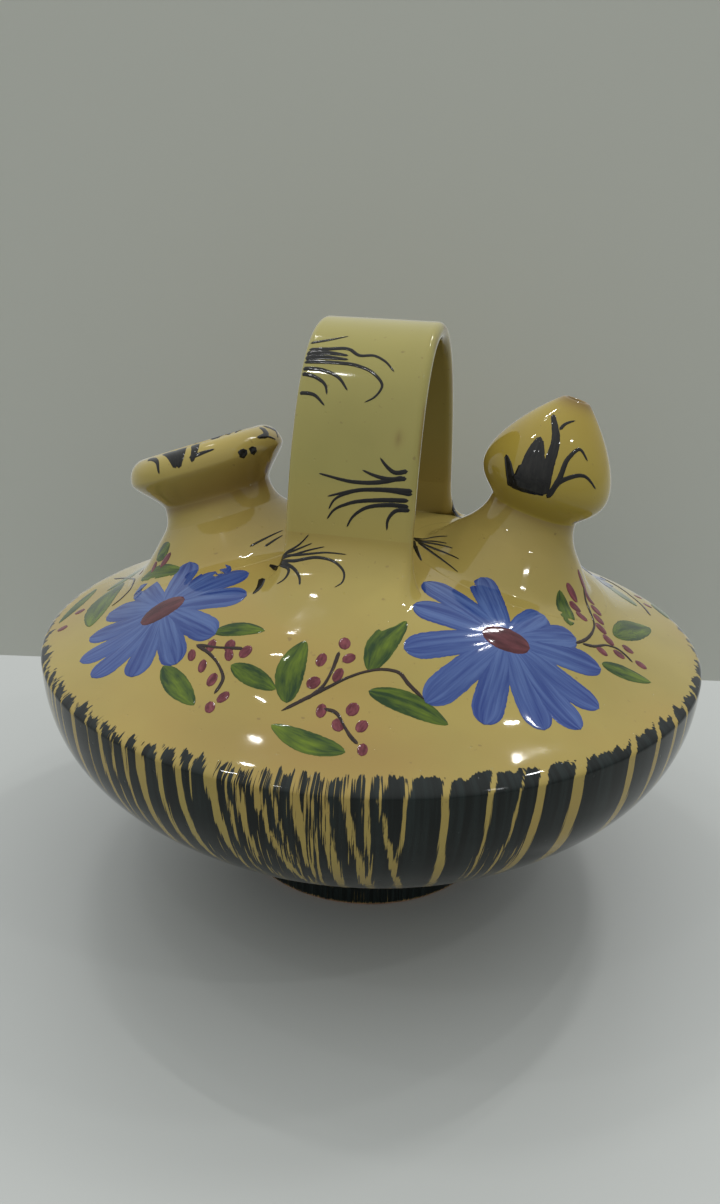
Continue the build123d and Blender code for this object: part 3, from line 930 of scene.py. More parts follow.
handle_rear_root = clay_piece("handle_rear_root", root_rings(0.0), sharp=root_sharp)
# The rear root carries the strap's painted shade on down its inner side.
mark(handle_rear_root, "joint_and_shade", painted_inner_shade(root_rows + 1))
seat_piece(handle_rear_root, "handle_rear_root", cream_glaze)
handle_front_root = clay_piece("handle_front_root", root_rings(math.pi), sharp=root_sharp)
seat_piece(handle_front_root, "handle_front_root", cream_glaze)

# Painted stems
# Thin brown-black lines drawn over the glaze with a fine brush, the first coat of the sprigs that hang round
# the two flowers. Every painted mark is a thin film that follows the clay below it.
skin_shell = bmesh.new()
for painted_piece in (upper_dome, filler_base_coil, spout_base_coil, handle_front_root, handle_rear_root):
    skin_shell.from_mesh(painted_piece.data)
shoulder_tree = BVHTree.FromBMesh(skin_shell)
for painted_piece in (filler_neck, filler_lip, spout_neck, spout_bulb, strap_handle):
    skin_shell.from_mesh(painted_piece.data)
skin_mesh = bpy.data.meshes.new("skin")
skin_shell.to_mesh(skin_mesh)
skin_shell.free()
skin_mesh.shade_smooth()
skin = new_object("skin", skin_mesh)
drop_height = 0.2


def brush_path(controls, turn_half, step):
    """Points along a smooth line through control points in mm; those in plan are dropped onto the clay."""
    places = []
    for control in controls:
        x, y = (-control[0], -control[1]) if turn_half else (control[0], control[1])
        if len(control) == 3:
            places.append((x * mm, y * mm, control[2] * mm))
        else:
            hit = shoulder_tree.ray_cast(Vector((x * mm, y * mm, drop_height)), Vector((0.0, 0.0, -1.0)))[0]
            places.append(tuple(hit))
    places = np.array(places)
    way = way_along(places)
    slopes = np.gradient(places, way, axis=0)
    fewest = 6
    at = np.linspace(0.0, way[-1], max(fewest, math.ceil(way[-1] / step)))
    k = np.clip(np.searchsorted(way, at) - 1, 0, len(way) - 2)
    span = (way[k + 1] - way[k])[:, None]
    s = ((at - way[k])[:, None]) / span
    return ((2 * s ** 3 - 3 * s ** 2 + 1) * places[k] + (s ** 3 - 2 * s ** 2 + s) * span * slopes[k]
            + (3 * s ** 2 - 2 * s ** 3) * places[k + 1] + (s ** 3 - s ** 2) * span * slopes[k + 1])


def line_shape(s):
    """Width of a drawn line along its way: even, with short rounded ends."""
    round_end, waver, waver_turns = 0.05, 0.15, 9.0
    ends = np.sqrt(np.clip(np.minimum(s, 1 - s) / round_end, 0.0, 1.0))
    return ends * (1 - waver + waver * np.sin(waver_turns * s))


# The brush: a line becomes a film of paint on the clay, as wide as its half_width, with ragged edges.
bristle_count = 9
grain_fineness = 900.0
rim_power, rim_thinning = 4.0, 0.75
merge_distance = 0.01 * mm
brush_tree, brush_in, brush_out = new_group(
    "paint strokes", "GeometryNodeTree",
    [("Geometry", "NodeSocketGeometry", None), ("Skin", "NodeSocketObject", None),
     ("Lift", "NodeSocketFloat", 0.1 * mm), ("Ragged", "NodeSocketFloat", 0.1),
     ("Seed", "NodeSocketInt", 1), ("Paint", "NodeSocketMaterial", None)],
    [("Geometry", "NodeSocketGeometry")])
brush_source = brush_in.outputs


def step_node(kind, sockets, **settings):
    """First output of a new node of the brush."""
    return add(brush_tree, kind, sockets, **settings).outputs[0]


brush_skin = add(brush_tree, "GeometryNodeObjectInfo", {"Object": brush_source["Skin"]}).outputs["Geometry"]
skin_normal = step_node("GeometryNodeInputNormal", {})


def on_skin(geometry):
    """Move points onto the clay; returns the moved geometry and the clay's normal there."""
    nearest = add(brush_tree, "GeometryNodeProximity")
    brush_tree.links.new(brush_skin, nearest.inputs[0])
    moved = step_node("GeometryNodeSetPosition",
                      {"Geometry": geometry, "Position": nearest.outputs["Position"]})
    normal = step_node("GeometryNodeSampleNearestSurface", {"Mesh": brush_skin, "Value": skin_normal},
                       data_type="FLOAT_VECTOR")
    return moved, normal


def vector_maths(operation, first, second):
    """Output of a node that works on two vectors, or scales the first by a number."""
    key = "Scale" if operation == "SCALE" else 1
    node = add(brush_tree, "ShaderNodeVectorMath", {0: first, key: second}, operation=operation)
    return node.outputs["Value" if operation == "DOT_PRODUCT" else "Vector"]


drawn, drawn_normal = on_skin(step_node("GeometryNodeMeshToCurve", {"Mesh": brush_source["Geometry"]}))
keep = add(brush_tree, "GeometryNodeCaptureAttribute", domain="POINT")
kept_items = [("place", step_node("GeometryNodeInputPosition", {})), ("normal", drawn_normal),
              ("tangent", step_node("GeometryNodeInputTangent", {}))]
for item_name, item_value in kept_items:
    keep.capture_items.new("VECTOR", item_name)
    brush_tree.links.new(item_value, keep.inputs[item_name])
brush_tree.links.new(drawn, keep.inputs["Geometry"])
bristles = step_node("GeometryNodeCurvePrimitiveLine", {"Start": (-1, 0, 0), "End": (1, 0, 0)})
bristles = step_node("GeometryNodeResampleCurve", {"Curve": bristles, "Count": bristle_count})
sides = add(brush_tree, "GeometryNodeCaptureAttribute", {"Geometry": bristles}, domain="POINT")
sides.capture_items.new("FLOAT", "side")
side_x = step_node("ShaderNodeSeparateXYZ", {0: step_node("GeometryNodeInputPosition", {})})
brush_tree.links.new(side_x, sides.inputs["side"])
film = step_node("GeometryNodeCurveToMesh",
                 {"Curve": keep.outputs["Geometry"], "Profile Curve": sides.outputs["Geometry"]})
side = sides.outputs["side"]
half_width_read = step_node("GeometryNodeInputNamedAttribute", {"Name": "half_width"}, data_type="FLOAT")
grain_place = vector_maths("SCALE", keep.outputs["place"], grain_fineness)
grain_seed = maths(brush_tree, "ADD", brush_source["Seed"], maths(brush_tree, "SIGN", side, 0.0))
grain = step_node("ShaderNodeTexNoise", {"Vector": grain_place, "W": grain_seed, "Scale": 1.0},
                  noise_dimensions="4D")
grain_away = maths(brush_tree, "SUBTRACT", grain, 0.5)
raggedness = maths(brush_tree, "MULTIPLY", grain_away, brush_source["Ragged"])
spread = maths(brush_tree, "MULTIPLY", maths(brush_tree, "MULTIPLY", side, half_width_read),
               maths(brush_tree, "ADD", raggedness, 1.0))
square_off = vector_maths("CROSS_PRODUCT", keep.outputs["normal"], keep.outputs["tangent"])
aside = vector_maths("NORMALIZE", square_off, (0, 0, 0))
laid_place = vector_maths("ADD", keep.outputs["place"], vector_maths("SCALE", aside, spread))
laid = step_node("GeometryNodeSetPosition", {"Geometry": film, "Position": laid_place})
laid, laid_normal = on_skin(laid)
rim_share = maths(brush_tree, "POWER", maths(brush_tree, "ABSOLUTE", side, 0.0), rim_power)
rim_thin = maths(brush_tree, "SUBTRACT", 1.0, maths(brush_tree, "MULTIPLY", rim_share, rim_thinning))
film_lift = maths(brush_tree, "MULTIPLY", rim_thin, brush_source["Lift"])
laid = step_node("GeometryNodeSetPosition",
                 {"Geometry": laid, "Offset": vector_maths("SCALE", laid_normal, film_lift)})
laid = step_node("GeometryNodeStoreNamedAttribute", {"Geometry": laid, "Name": "side", "Value": side},
                 data_type="FLOAT", domain="POINT")
laid = step_node("GeometryNodeMergeByDistance", {"Geometry": laid, "Distance": merge_distance})
turned_in = maths(brush_tree, "LESS_THAN", vector_maths("DOT_PRODUCT", skin_normal, laid_normal), 0.0)
laid = step_node("GeometryNodeFlipFaces", {"Mesh": laid, "Selection": turned_in})
laid = step_node("GeometryNodeRealizeInstances", {"Geometry": laid})
laid = step_node("GeometryNodeSetMaterial", {"Geometry": laid, "Material": brush_source["Paint"]})
brush_tree.links.new(laid, brush_out.inputs["Geometry"])
brush_sockets = {item.name: item.identifier for item in brush_tree.interface.items_tree
                 if item.in_out == "INPUT"}
tint_draw = np.random.default_rng(seed=23)
grain_start = 7


def paint_strokes(name, strokes, shape, paint, lift, ragged, step=0.7 * mm):
    """Piece of paint from strokes of (turned half round or not, control points in mm, half width in mm)."""
    lines = []
    for half_turn, controls, half in strokes:
        lines.append((brush_path(controls, half_turn, step), half, tint_draw.uniform()))
    verts, edges, widths, along, tints = [], [], [], [], []
    for points, half, tint in lines:
        share = np.linspace(0.0, 1.0, len(points))
        edges += [(len(verts) + k, len(verts) + k + 1) for k in range(len(points) - 1)]
        verts += points.tolist()
        widths += (shape(share) * half * mm).tolist()
        along += share.tolist()
        tints += [tint] * len(points)
    drawing = new_object("drawing", bpy.data.meshes.new("drawing"))
    drawing.data.from_pydata(verts, edges, [])
    for mark_name, values in (("half_width", widths), ("along", along), ("tint", tints)):
        mark(drawing, mark_name, values)
    brush = drawing.modifiers.new("brush", "NODES")
    brush.node_group = brush_tree
    for socket_name, value in (("Skin", skin), ("Lift", lift), ("Ragged", ragged),
                               ("Seed", grain_start), ("Paint", paint)):
        brush[brush_sockets[socket_name]] = value
    mesh = worked_mesh(drawing)
    mesh.name = name
    drawing.modifiers.remove(brush)
    bpy.data.objects.remove(drawing)
    mesh.shade_smooth()
    piece = new_object(name, mesh)
    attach(piece, "root")


# The look of brushed paint: streaks that run along each mark, and a darker rim where the paint gathered.
stroke_group, stroke_in, stroke_out = new_group(
    "brush marks", "ShaderNodeTree",
    [("Across", "NodeSocketFloat", 3.0), ("Along", "NodeSocketFloat", 1.5),
     ("Fade", "NodeSocketFloat", 0.0)],
    [("Streak", "NodeSocketFloat"), ("Rim", "NodeSocketFloat"), ("Height", "NodeSocketFloat")])
stroke_marks = {name: add(stroke_group, "ShaderNodeAttribute", attribute_name=name).outputs["Fac"]
                for name in ("side", "along", "tint")}
tint_shift = 60.0
stroke_place = add(stroke_group, "ShaderNodeCombineXYZ", {
    0: maths(stroke_group, "MULTIPLY", stroke_marks["side"], stroke_in.outputs["Across"]),
    1: maths(stroke_group, "MULTIPLY", stroke_marks["along"], stroke_in.outputs["Along"]),
    2: maths(stroke_group, "MULTIPLY", stroke_marks["tint"], tint_shift)}).outputs[0]
stroke_cloud = noise(stroke_group, stroke_place, scale=1.0, detail=3.0, roughness=0.6)
stroke_fade = maths(stroke_group, "MULTIPLY", maths(stroke_group, "SUBTRACT", 1.0, stroke_marks["along"]),
                    stroke_in.outputs["Fade"])
stroke_level = maths(stroke_group, "ADD", ramp(stroke_group, stroke_cloud, low=0.36, high=0.70), stroke_fade)
stroke_group.links.new(ramp(stroke_group, stroke_level, low=0.0, high=1.0), stroke_out.inputs["Streak"])
rim_mask = ramp(stroke_group, maths(stroke_group, "ABSOLUTE", stroke_marks["side"], 0.0), low=0.72, high=1.0)
stroke_group.links.new(rim_mask, stroke_out.inputs["Rim"])
stroke_group.links.new(stroke_cloud, stroke_out.inputs["Height"])


def paint_material(name, deep, light, across, along, fade=0.0):
    """Glossy fired paint that goes from a deep to a light colour along its brush marks."""
    rim_strength = 0.45
    material, tree, shader = glossy_material(name)
    brush_values = {"Across": across, "Along": along, "Fade": fade}
    marks = add(tree, "ShaderNodeGroup", brush_values, node_tree=stroke_group)
    body_colour = mixed(tree, marks.outputs["Streak"], (*deep, 1.0), (*light, 1.0))
    rim_tone = maths(tree, "MULTIPLY", marks.outputs["Rim"], rim_strength)
    colour = mixed(tree, rim_tone, body_colour, (*deep, 1.0))
    roughness = ramp(tree, marks.outputs["Streak"], low=0.0, high=1.0, to_low=0.05, to_high=0.09)
    finish_shader(tree, shader, colour, roughness, marks.outputs["Height"],
                  bump_strength=0.10, bump_depth=0.2 * mm)
    return material


def front_only(strokes):
    """The strokes as they are, for the side that the photograph shows."""
    return [(False, *stroke) for stroke in strokes]


def both_sides(strokes):
    """The strokes of the front and the same ones turned half round, for the back."""
    return front_only(strokes) + [(True, *stroke) for stroke in strokes]


stem_paint = paint_material(
    "stem_paint", deep=(0.010, 0.006, 0.005), light=(0.045, 0.025, 0.018), across=2.0, along=5.0)
stem_half = 0.62
middle_stems = [
    [(-5.9, -95.4), (0.3, -91.1), (6, -87.4), (11.3, -83.9), (16, -81.3), (21.7, -79.2), (25.8, -79),
     (28.7, -80.8), (34.3, -83.3)],
    [(0.4, -91.5), (4.6, -87), (6.1, -82.6), (6.7, -77.1)],
    [(6.3, -93.2), (9.8, -93.5), (13.3, -96.8), (16.1, -99.7), (18.8, -101.7)],
]
left_stems = [
    [(-40.4, -74.4), (-34.5, -78.2), (-29.6, -82.7), (-27.3, -86.1), (-28.4, -90.9)],
    [(-40.4, -74.4), (-32.9, -76.5), (-23.6, -77.9)],
]
right_stems = [
    [(75.6, -38), (78.6, -33), (80.7, -26.3), (81.1, -20.9), (79.7, -16.5), (78, -12.4), (76.8, -9.7),
     (76.1, -7.8)],
    [(77.9, -35.7), (81.5, -32.6), (86.3, -26.1), (89.8, -23.8), (92.7, -24.3), (94.9, -25.9)],
]
edge_stems = [
    [(-88.5, -34.5), (-85.8, -31.2), (-84.6, -27.1), (-86.1, -20.7), (-94.6, -6.4), (-102.6, 3.2),
     (-108.2, 8)],
    [(82.2, 73.2), (88.5, 64.9), (95, 50.8), (99.4, 39.9), (102.1, 29.5)],
]
stems = both_sides([(controls, stem_half) for controls in middle_stems + left_stems + right_stems])
stems += front_only([(controls, stem_half) for controls in edge_stems])
paint_strokes("painted_stems", stems, line_shape, stem_paint, lift=0.2 * mm, ragged=0.5)

# Painted leaves
# Pointed leaves laid down with one or two strokes of a loaded brush, dark green with lighter streaks where
# the paint ran thin.


def leaf_shape(s):
    """Width of a leaf along its way: pointed at the base, fullest past the middle, blunt at the tip."""
    towards_tip, fullness = 0.9, 0.62
    return np.sin(np.pi * s ** towards_tip) ** fullness


leaf_paint = paint_material(
    "leaf_paint", deep=(0.011, 0.035, 0.005), light=(0.105, 0.155, 0.006), across=1.6, along=1.8)
leaves = [
    ([(-5, -93), (-6.5, -84), (-4.5, -75)], 4.5), ([(17, -81), (19, -71), (24, -61)], 4.5),
    ([(18, -86), (30, -86), (42.5, -88)], 3.8), ([(16, -105), (4, -104), (-7.6, -100)], 3.8),
    ([(-36, -71), (-27, -71), (-18.5, -72)], 2.8), ([(-26, -82.5), (-18, -86), (-9.5, -89.5)], 3.3),
    ([(-50, -79), (-42, -87), (-33.5, -94.5)], 3.8),
    ([(73.4, -31.5), (71.5, -26), (68.5, -21)], 3.2), ([(88.1, -17.5), (94.8, -1.6), (101.4, 12)], 4.8),
    ([(84.7, -37.8), (93, -34.5), (101.3, -31.9)], 3.5),
]
edge_leaves = [
    ([(-75.6, -23.1, 116.5), (-72.9, -22.2, 120.4), (-70.5, -22, 123.1)], 4.6),
    ([(-81, -25), (-71, -31), (-60, -36)], 3.5), ([(-96.5, -8.9), (-96.5, -23.5), (-91.9, -45.8)], 6.0),
    ([(-110.8, -2.8), (-109.9, -20), (-110, -34.9)], 2.6),
    ([(80.4, 52), (88.5, 42), (96.8, 33.8)], 6.0), ([(104, 56), (106.4, 48.7), (109.3, 39.1)], 3.0),
]
paint_strokes(
    "painted_leaves", both_sides(leaves) + front_only(edge_leaves), leaf_shape, leaf_paint,
    lift=0.12 * mm, ragged=0.22)

# Painted berries
# Small maroon dabs along the stems, each a single touch of a round brush with a paler middle.


def berry_shape(s):
    """Width of a round dab along its way."""
    return np.sqrt(np.clip(1.0 - (2 * s - 1) ** 2, 0.0, 1.0))


berry_paint = paint_material(
    "berry_paint", deep=(0.075, 0.010, 0.016), light=(0.20, 0.050, 0.060), across=1.2, along=1.2)
berry_length = 4.2
berry_half = 1.75
berry_places = [
    (7.6, -74.2), (2, -80.4), (10.1, -78.6), (8.1, -83.8), (1.4, -86.8), (5.8, -93.9), (14.7, -91.8),
    (11.7, -97.1), (18.5, -96), (20.5, -103.1), (-34.9, -75.7), (-27.7, -79.4), (-28.4, -76.6),
    (-22.5, -78.9), (-40.8, -77.4), (-35.7, -81.6), (-30.8, -86.3), (-25.2, -92), (-28.2, -95.3),
]
right_berry_places = [
    (75.6, -6.8), (72.6, -16.9), (78.5, -7.8), (74.2, -20.1), (76.7, -22.2), (81.3, -11.2), (82.4, -15.7),
    (83.5, -20.1), (86.3, -23), (84.4, -31.5), (93.1, -19.5), (90.2, -26.4), (97.8, -24.3),
]
edge_berry_places = [
    (-70.2, -27.4), (-75.6, -25.5), (-86.3, -13), (-104.8, -28.2), (-105.3, -40.9), (98, 57), (101.5, 46),
]
berry_draw = np.random.default_rng(seed=5)
berry_leans, right_berry_leans = (0.6, 2.2), (-0.35, 0.25)
berry_least, berry_most = 0.85, 1.1


def dabs(places, leans):
    """Berries as short strokes at their places, each leaning a little differently, by angles in radians."""
    strokes = []
    for x, y in places:
        lean = berry_draw.uniform(*leans)
        reach_x, reach_y = berry_length / 2 * math.cos(lean), berry_length / 2 * math.sin(lean)
        dab = [(x - reach_x, y - reach_y), (x + reach_x, y + reach_y)]
        strokes.append((dab, berry_half * berry_draw.uniform(berry_least, berry_most)))
    return strokes


berries = both_sides(dabs(berry_places, berry_leans) + dabs(right_berry_places, right_berry_leans))
berries += front_only(dabs(edge_berry_places, berry_leans))
paint_strokes(
    "painted_berries", berries, berry_shape, berry_paint, lift=0.15 * mm, ragged=0.18, step=0.45 * mm)

# Painted flowers
# Two daisies on the front and two on the back: long ultramarine petals, each one stroke from the middle
# outwards and thinning to a milky blue near it, and a streaked dark red heart.


def petal_shape(s):
    """Width of a petal along its way: narrow at the heart, widest near its blunt tip."""
    base_width, widest = 0.66, 0.68
    tip_start, tip_bend, tip_bluntness = 0.74, 2.4, 0.6
    swell = base_width + (1 - base_width) * np.sin(np.minimum(s / widest, 1.0) * np.pi / 2)
    past_start = np.clip((s - tip_start) / (1 - tip_start), 0.0, 1.0)
    return swell * np.clip(1.0 - past_start ** tip_bend, 0.0, 1.0) ** tip_bluntness


petal_paint = paint_material(
    "petal_paint", deep=(0.011, 0.030, 0.160), light=(0.072, 0.120, 0.285), across=2.6, along=0.8, fade=0.38)
heart_paint = paint_material(
    "heart_paint", deep=(0.050, 0.009, 0.012), light=(0.120, 0.030, 0.036), across=2.2, along=1.5)
petal_half = 5.1
petal_start = 4.0
heart_across, heart_rise, heart_half = 7.5, 1.5, 6.2
flowers = [
    ((-59.7, -55.3), [(45, 25), (25, 29), (-2, 30), (-34, 30), (-59, 28), (-90, 26), (-123, 28), (-152, 28),
                      (178, 28), (151, 31), (128, 30), (87, 22)]),
    ((54.5, -53.9), [(153, 33), (179, 30), (-149, 34), (-123, 36), (-94, 30), (-57, 28), (-34, 31), (-9, 31),
                     (24, 33), (41, 28), (62, 22), (116, 27)]),
]
# Each flower has its middle in plan, in mm, and its petals by bearing in degrees and length in mm.
petals, hearts = [], []
for (centre_x, centre_y), petal_list in flowers:
    for bearing, length in petal_list:
        out_x, out_y = math.cos(math.radians(bearing)), math.sin(math.radians(bearing))
        petals.append(([(centre_x + petal_start * out_x, centre_y + petal_start * out_y),
                        (centre_x + length * out_x, centre_y + length * out_y)], petal_half))
    hearts.append(([(centre_x - heart_across, centre_y - heart_rise),
                    (centre_x + heart_across, centre_y + heart_rise)], heart_half))
paint_strokes("painted_petals", both_sides(petals), petal_shape, petal_paint, lift=0.17 * mm, ragged=0.16)
paint_strokes("painted_hearts", both_sides(hearts), berry_shape, heart_paint, lift=0.24 * mm, ragged=0.12)

# Painted grass
# Quick black tufts on the handle, its roots, the filler's lip and the spout, drawn with a pointed brush that
# lifts off at the end of each blade.


def blade_shape(s):
    """Width of a blade along its way: full at its root and drawn out to a fine tip."""
    root_end, tip_end = 0.04, 0.03
    thinning, thinning_power = 0.65, 2.2
    ends = np.sqrt(np.clip(np.minimum(s / root_end, (1 - s) / tip_end), 0.0, 1.0))
    return ends * (1.0 - thinning * s ** thinning_power)


grass_paint = paint_material(
    "grass_paint", deep=(0.006, 0.006, 0.006), light=(0.018, 0.017, 0.015), across=2.0, along=4.0)


def on_strap(places):
    """Points on the strap's front face from their places across it and their heights, in mm."""
    return [(x, -float(np.interp(z * mm, strap_curve[:, 1], strap_curve[:, 0])) / mm, z) for x, z in places]


strap_blades = [
    ([(-19.8, 196.7), (-13.9, 197.8), (-7.8, 199.1)], 0.55),
    ([(-19.7, 194.9), (-13, 195.4), (-6, 195.6), (-2.8, 194.2), (2.6, 194.3), (6.1, 193.1),
      (10, 190.2)], 0.7),
    ([(-20.4, 193.8), (-13, 194.3), (-6, 193.9)], 1.0),
    ([(-20.6, 192.6), (-13, 193), (-5.7, 192.8)], 1.0),
    ([(-20.7, 191.4), (-10.9, 191.7), (-2.1, 191.2), (3.7, 189.2), (6.8, 186), (4.9, 182.7),
      (1.8, 180.9)], 0.7),
    ([(-20.8, 189.5), (-13.7, 189.4), (-7.9, 187.6), (-4.2, 184)], 0.75),
    ([(-20.8, 188.1), (-15.4, 187.2), (-11.7, 185), (-10.8, 182.4)], 0.7),
    ([(-20.3, 182.4), (-15.1, 182.1), (-11, 179.1)], 0.65),
    ([(17.2, 159.7), (10, 157.6), (1.5, 156.9), (-10.7, 158.6)], 0.75),
    ([(18.1, 159.3), (12, 158.7), (7.7, 159.4), (3.5, 160.8)], 0.75),
    ([(18.3, 161.6), (13.9, 160.9), (11.1, 162.7), (8.9, 165)], 0.75),
    ([(20.6, 155.6), (12.3, 155.4), (1.7, 154.3), (-7.3, 151.7)], 0.75),
    ([(20.7, 154.6), (10.2, 155.2), (-0.4, 153.4), (-5.1, 150.6), (-6.6, 147.6)], 0.75),
    ([(19.4, 152.6), (10.5, 152), (-0.2, 150), (-4.9, 147.5), (-7, 144.4)], 0.75),
    ([(19.6, 150.7), (12.7, 150.7), (4.3, 148.4), (1.2, 145.5), (-0.2, 142.5)], 0.75),
    ([(20.2, 149.7), (15, 148.8), (13.1, 146), (13, 142.6)], 0.7),
]
blades = [(on_strap(places), half) for places, half in strap_blades]
root_origin = (-27.9, -37.4, 124.9)
crown_origin = (14.5, -3, 128)
root_blades = [
    ([root_origin, (-20.1, -44.5, 132.2), (-15.8, -43.9, 135.3), (-12.7, -43.2, 138.9)], 0.5),
    ([root_origin, (-17.8, -44.8, 133.1), (-11.4, -43.7, 136.2)], 0.5),
    ([root_origin, (-18.6, -45.6, 131.6), (-12.2, -44.6, 134), (-7.1, -44, 135.5)], 0.5),
    ([root_origin, (-14.2, -45.4, 132.5), (-6.6, -44.9, 133.8), (0.5, -44.9, 133.9)], 0.5),
    ([root_origin, (-17.2, -46.7, 130.4), (-8.5, -45.9, 132.2), (-2.7, -46.9, 131.5), (1, -49.8, 129),
      (1, -52.7, 126.9), (-0.9, -54.6, 125.8)], 0.65),
    ([root_origin, (-20, -46.7, 129.2), (-16, -48.9, 128.5), (-13.5, -51.4, 126.8),
      (-12.5, -54.3, 125.1)], 0.8),
    ([root_origin, (-21.3, -46.1, 128.3), (-17.7, -49.3, 127.8), (-18.4, -51.7, 125.7),
      (-20.7, -52.7, 124)], 0.7),
    ([(-27.6, -46.6, 123.2), (-27, -52.8, 121.8), (-27.9, -55.8, 120.8)], 1.2),
    ([(-38, -28.6, 127.4), (-33.7, -23.4, 129.5), (-29.6, -17.3, 130.8)], 0.45),
    ([(-33.1, -27.3, 127.5), (-28.9, -19.6, 129.8)], 0.45),
    ([crown_origin, (20.8, -5.3, 129.4), (28.4, -11.3, 132.7)], 0.5),
    ([crown_origin, (21.4, -8.5, 129.3), (28.8, -15.3, 131.3)], 0.5),
    ([crown_origin, (22.8, -11.3, 129.5), (31.4, -18.7, 130.9)], 0.5),
    ([crown_origin, (24.7, -15.7, 129.1), (34.5, -23.6, 128.9)], 0.5),
    ([crown_origin, (25.2, -18.8, 128.2), (35, -28.4, 125.9)], 0.5),
    ([crown_origin, (17.6, -13.3, 128), (21.6, -23.9, 127.1)], 0.9),
]
blades += root_blades
paint_strokes("painted_grass", both_sides(blades), blade_shape, grass_paint,
              lift=0.14 * mm, ragged=0.35)
bulb_blades = [
    ([(49.7, -17.2, 153.7), (48.2, -16.1, 158.9), (46.3, -12.2, 163.3)], 1.7),
    ([(52.1, -18.2, 153.2), (52.1, -16.6, 161.6)], 2.4),
    ([(54.9, -19.1, 153), (54.8, -15.3, 164.7), (57.1, -11.3, 169.9)], 2.7),
    ([(57.4, -19.6, 152.7), (57.7, -16.7, 163.4), (57.4, -12.1, 169.2)], 2.2),
    ([(59.9, -19.7, 152.6), (60.8, -17.7, 161.4), (62.1, -12.3, 169), (60.1, -4.6, 176.3)], 1.9),
    ([(61.3, -19.4, 156.4), (49.2, -17.1, 157.1)], 2.8),
    ([(60.8, -19.8, 153.8), (49, -16.9, 154.1)], 1.6),
    ([(62.9, -9.4, 172.2), (64.4, -7.5, 173.8), (67.6, -5.4, 174.9)], 0.6),
    ([(61.4, -19.5, 151.6), (64.7, -18.4, 158.1), (66.9, -14.5, 164.3), (70.2, -11, 166.6),
      (73, -11.2, 163)], 0.95),
    ([(62.6, -19.4, 154), (64.9, -18.7, 157), (67.7, -17.2, 158.4), (72.3, -14.2, 158.7),
      (76.6, -11.4, 153.9)], 0.8),
]
lip_blades = [
    ([(-79.5, -17.7, 152.3), (-76.5, -20, 153.2), (-73.8, -22.9, 153), (-72, -25.5, 149.6)], 1.0),
    ([(-73, -17, 157), (-68, -23, 155.5), (-65.5, -26, 152.4)], 2.2),
    ([(-67, -17.5, 159), (-65, -23.5, 156.5), (-64.4, -26, 152.4)], 2.2),
    ([(-62, -16, 160), (-60, -22.5, 158), (-60, -25.1, 154.7)], 1.6),
    ([(-61.2, -24.4, 155.9), (-57.8, -23.1, 157.4), (-53.3, -20.6, 158.9)], 0.8),
    ([(-45.8, -16.9, 155.9), (-43.2, -14.9, 158.3)], 1.9),
    ([(-42.8, -13.5, 156.6), (-40.9, -11.4, 158.6)], 1.8),
    ([(-43.6, 1.1, 162.9), (-40.5, -2.4, 161.3), (-42, -8, 161)], 1.4),
    ([(-41.3, 9.6, 160.8), (-38.1, 4.1, 158.8)], 0.6),
]
# The grass of the spout and the filler is mirrored to their rear sides, about a middle in mm.
mirrored_grass = []
bulb_middle, lip_middle = 3.5, 2.7
for controls, half in bulb_blades + lip_blades:
    middle = bulb_middle if controls[0][0] > 0 else lip_middle
    mirrored_grass.append((controls, half))
    mirrored_grass.append(([(x, 2 * middle - y, z) for x, y, z in controls], half))
paint_strokes("painted_lip_grass", front_only(mirrored_grass), blade_shape, grass_paint,
              lift=0.16 * mm, ragged=0.4)
bpy.data.objects.remove(skin)

# Table, light and camera
# A plain pale table against a plain wall, soft studio light with a few small lamps overhead, which give the
# glaze its highlights, and a camera at the photograph's viewing angle.
table_size = 3.0
wall_left, wall_right = np.array([-0.2316, 0.1137]), np.array([0.1534, 0.1947])
wall_along = (wall_right - wall_left) / np.linalg.norm(wall_right - wall_left)
wall_ends = [wall_left - wall_along * table_size, wall_left + wall_along * table_size]
near_edge = np.array([wall_along[1], -wall_along[0]]) * table_size


def stage_panel(name, corners, colour, roughness):
    """Flat panel of the stage with a plain matt paint, see-through from behind."""
    panel = new_object(name, bpy.data.meshes.new(name))
    panel.data.from_pydata([tuple(c) for c in corners], [], [(0, 1, 2, 3)])
    coat = bpy.data.materials.new(name)
    coat.use_nodes = True
    shader = coat.node_tree.nodes["Principled BSDF"]
    shader.inputs["Base Color"].default_value = (*colour, 1.0)
    shader.inputs["Roughness"].default_value = roughness
    behind = add(coat.node_tree, "ShaderNodeNewGeometry").outputs["Backfacing"]
    coat.node_tree.links.new(maths(coat.node_tree, "SUBTRACT", 1.0, behind), shader.inputs["Alpha"])
    panel.data.materials.append(coat)
    return panel


stage_panel("table", [(*(wall_ends[0] + near_edge), 0.0), (*(wall_ends[1] + near_edge), 0.0),
                      (*(wall_ends[1] - near_edge), 0.0), (*(wall_ends[0] - near_edge), 0.0)],
            colour=(0.395, 0.405, 0.39), roughness=0.42)
wall_height = 0.45
wall = stage_panel("wall", [(*wall_ends[0], 0.0), (*wall_ends[1], 0.0), (*wall_ends[1], wall_height),
                            (*wall_ends[0], wall_height)], colour=(0.47, 0.48, 0.435), roughness=0.8)
wall.visible_shadow = False
wall.visible_diffuse = False
wall.visible_glossy = False

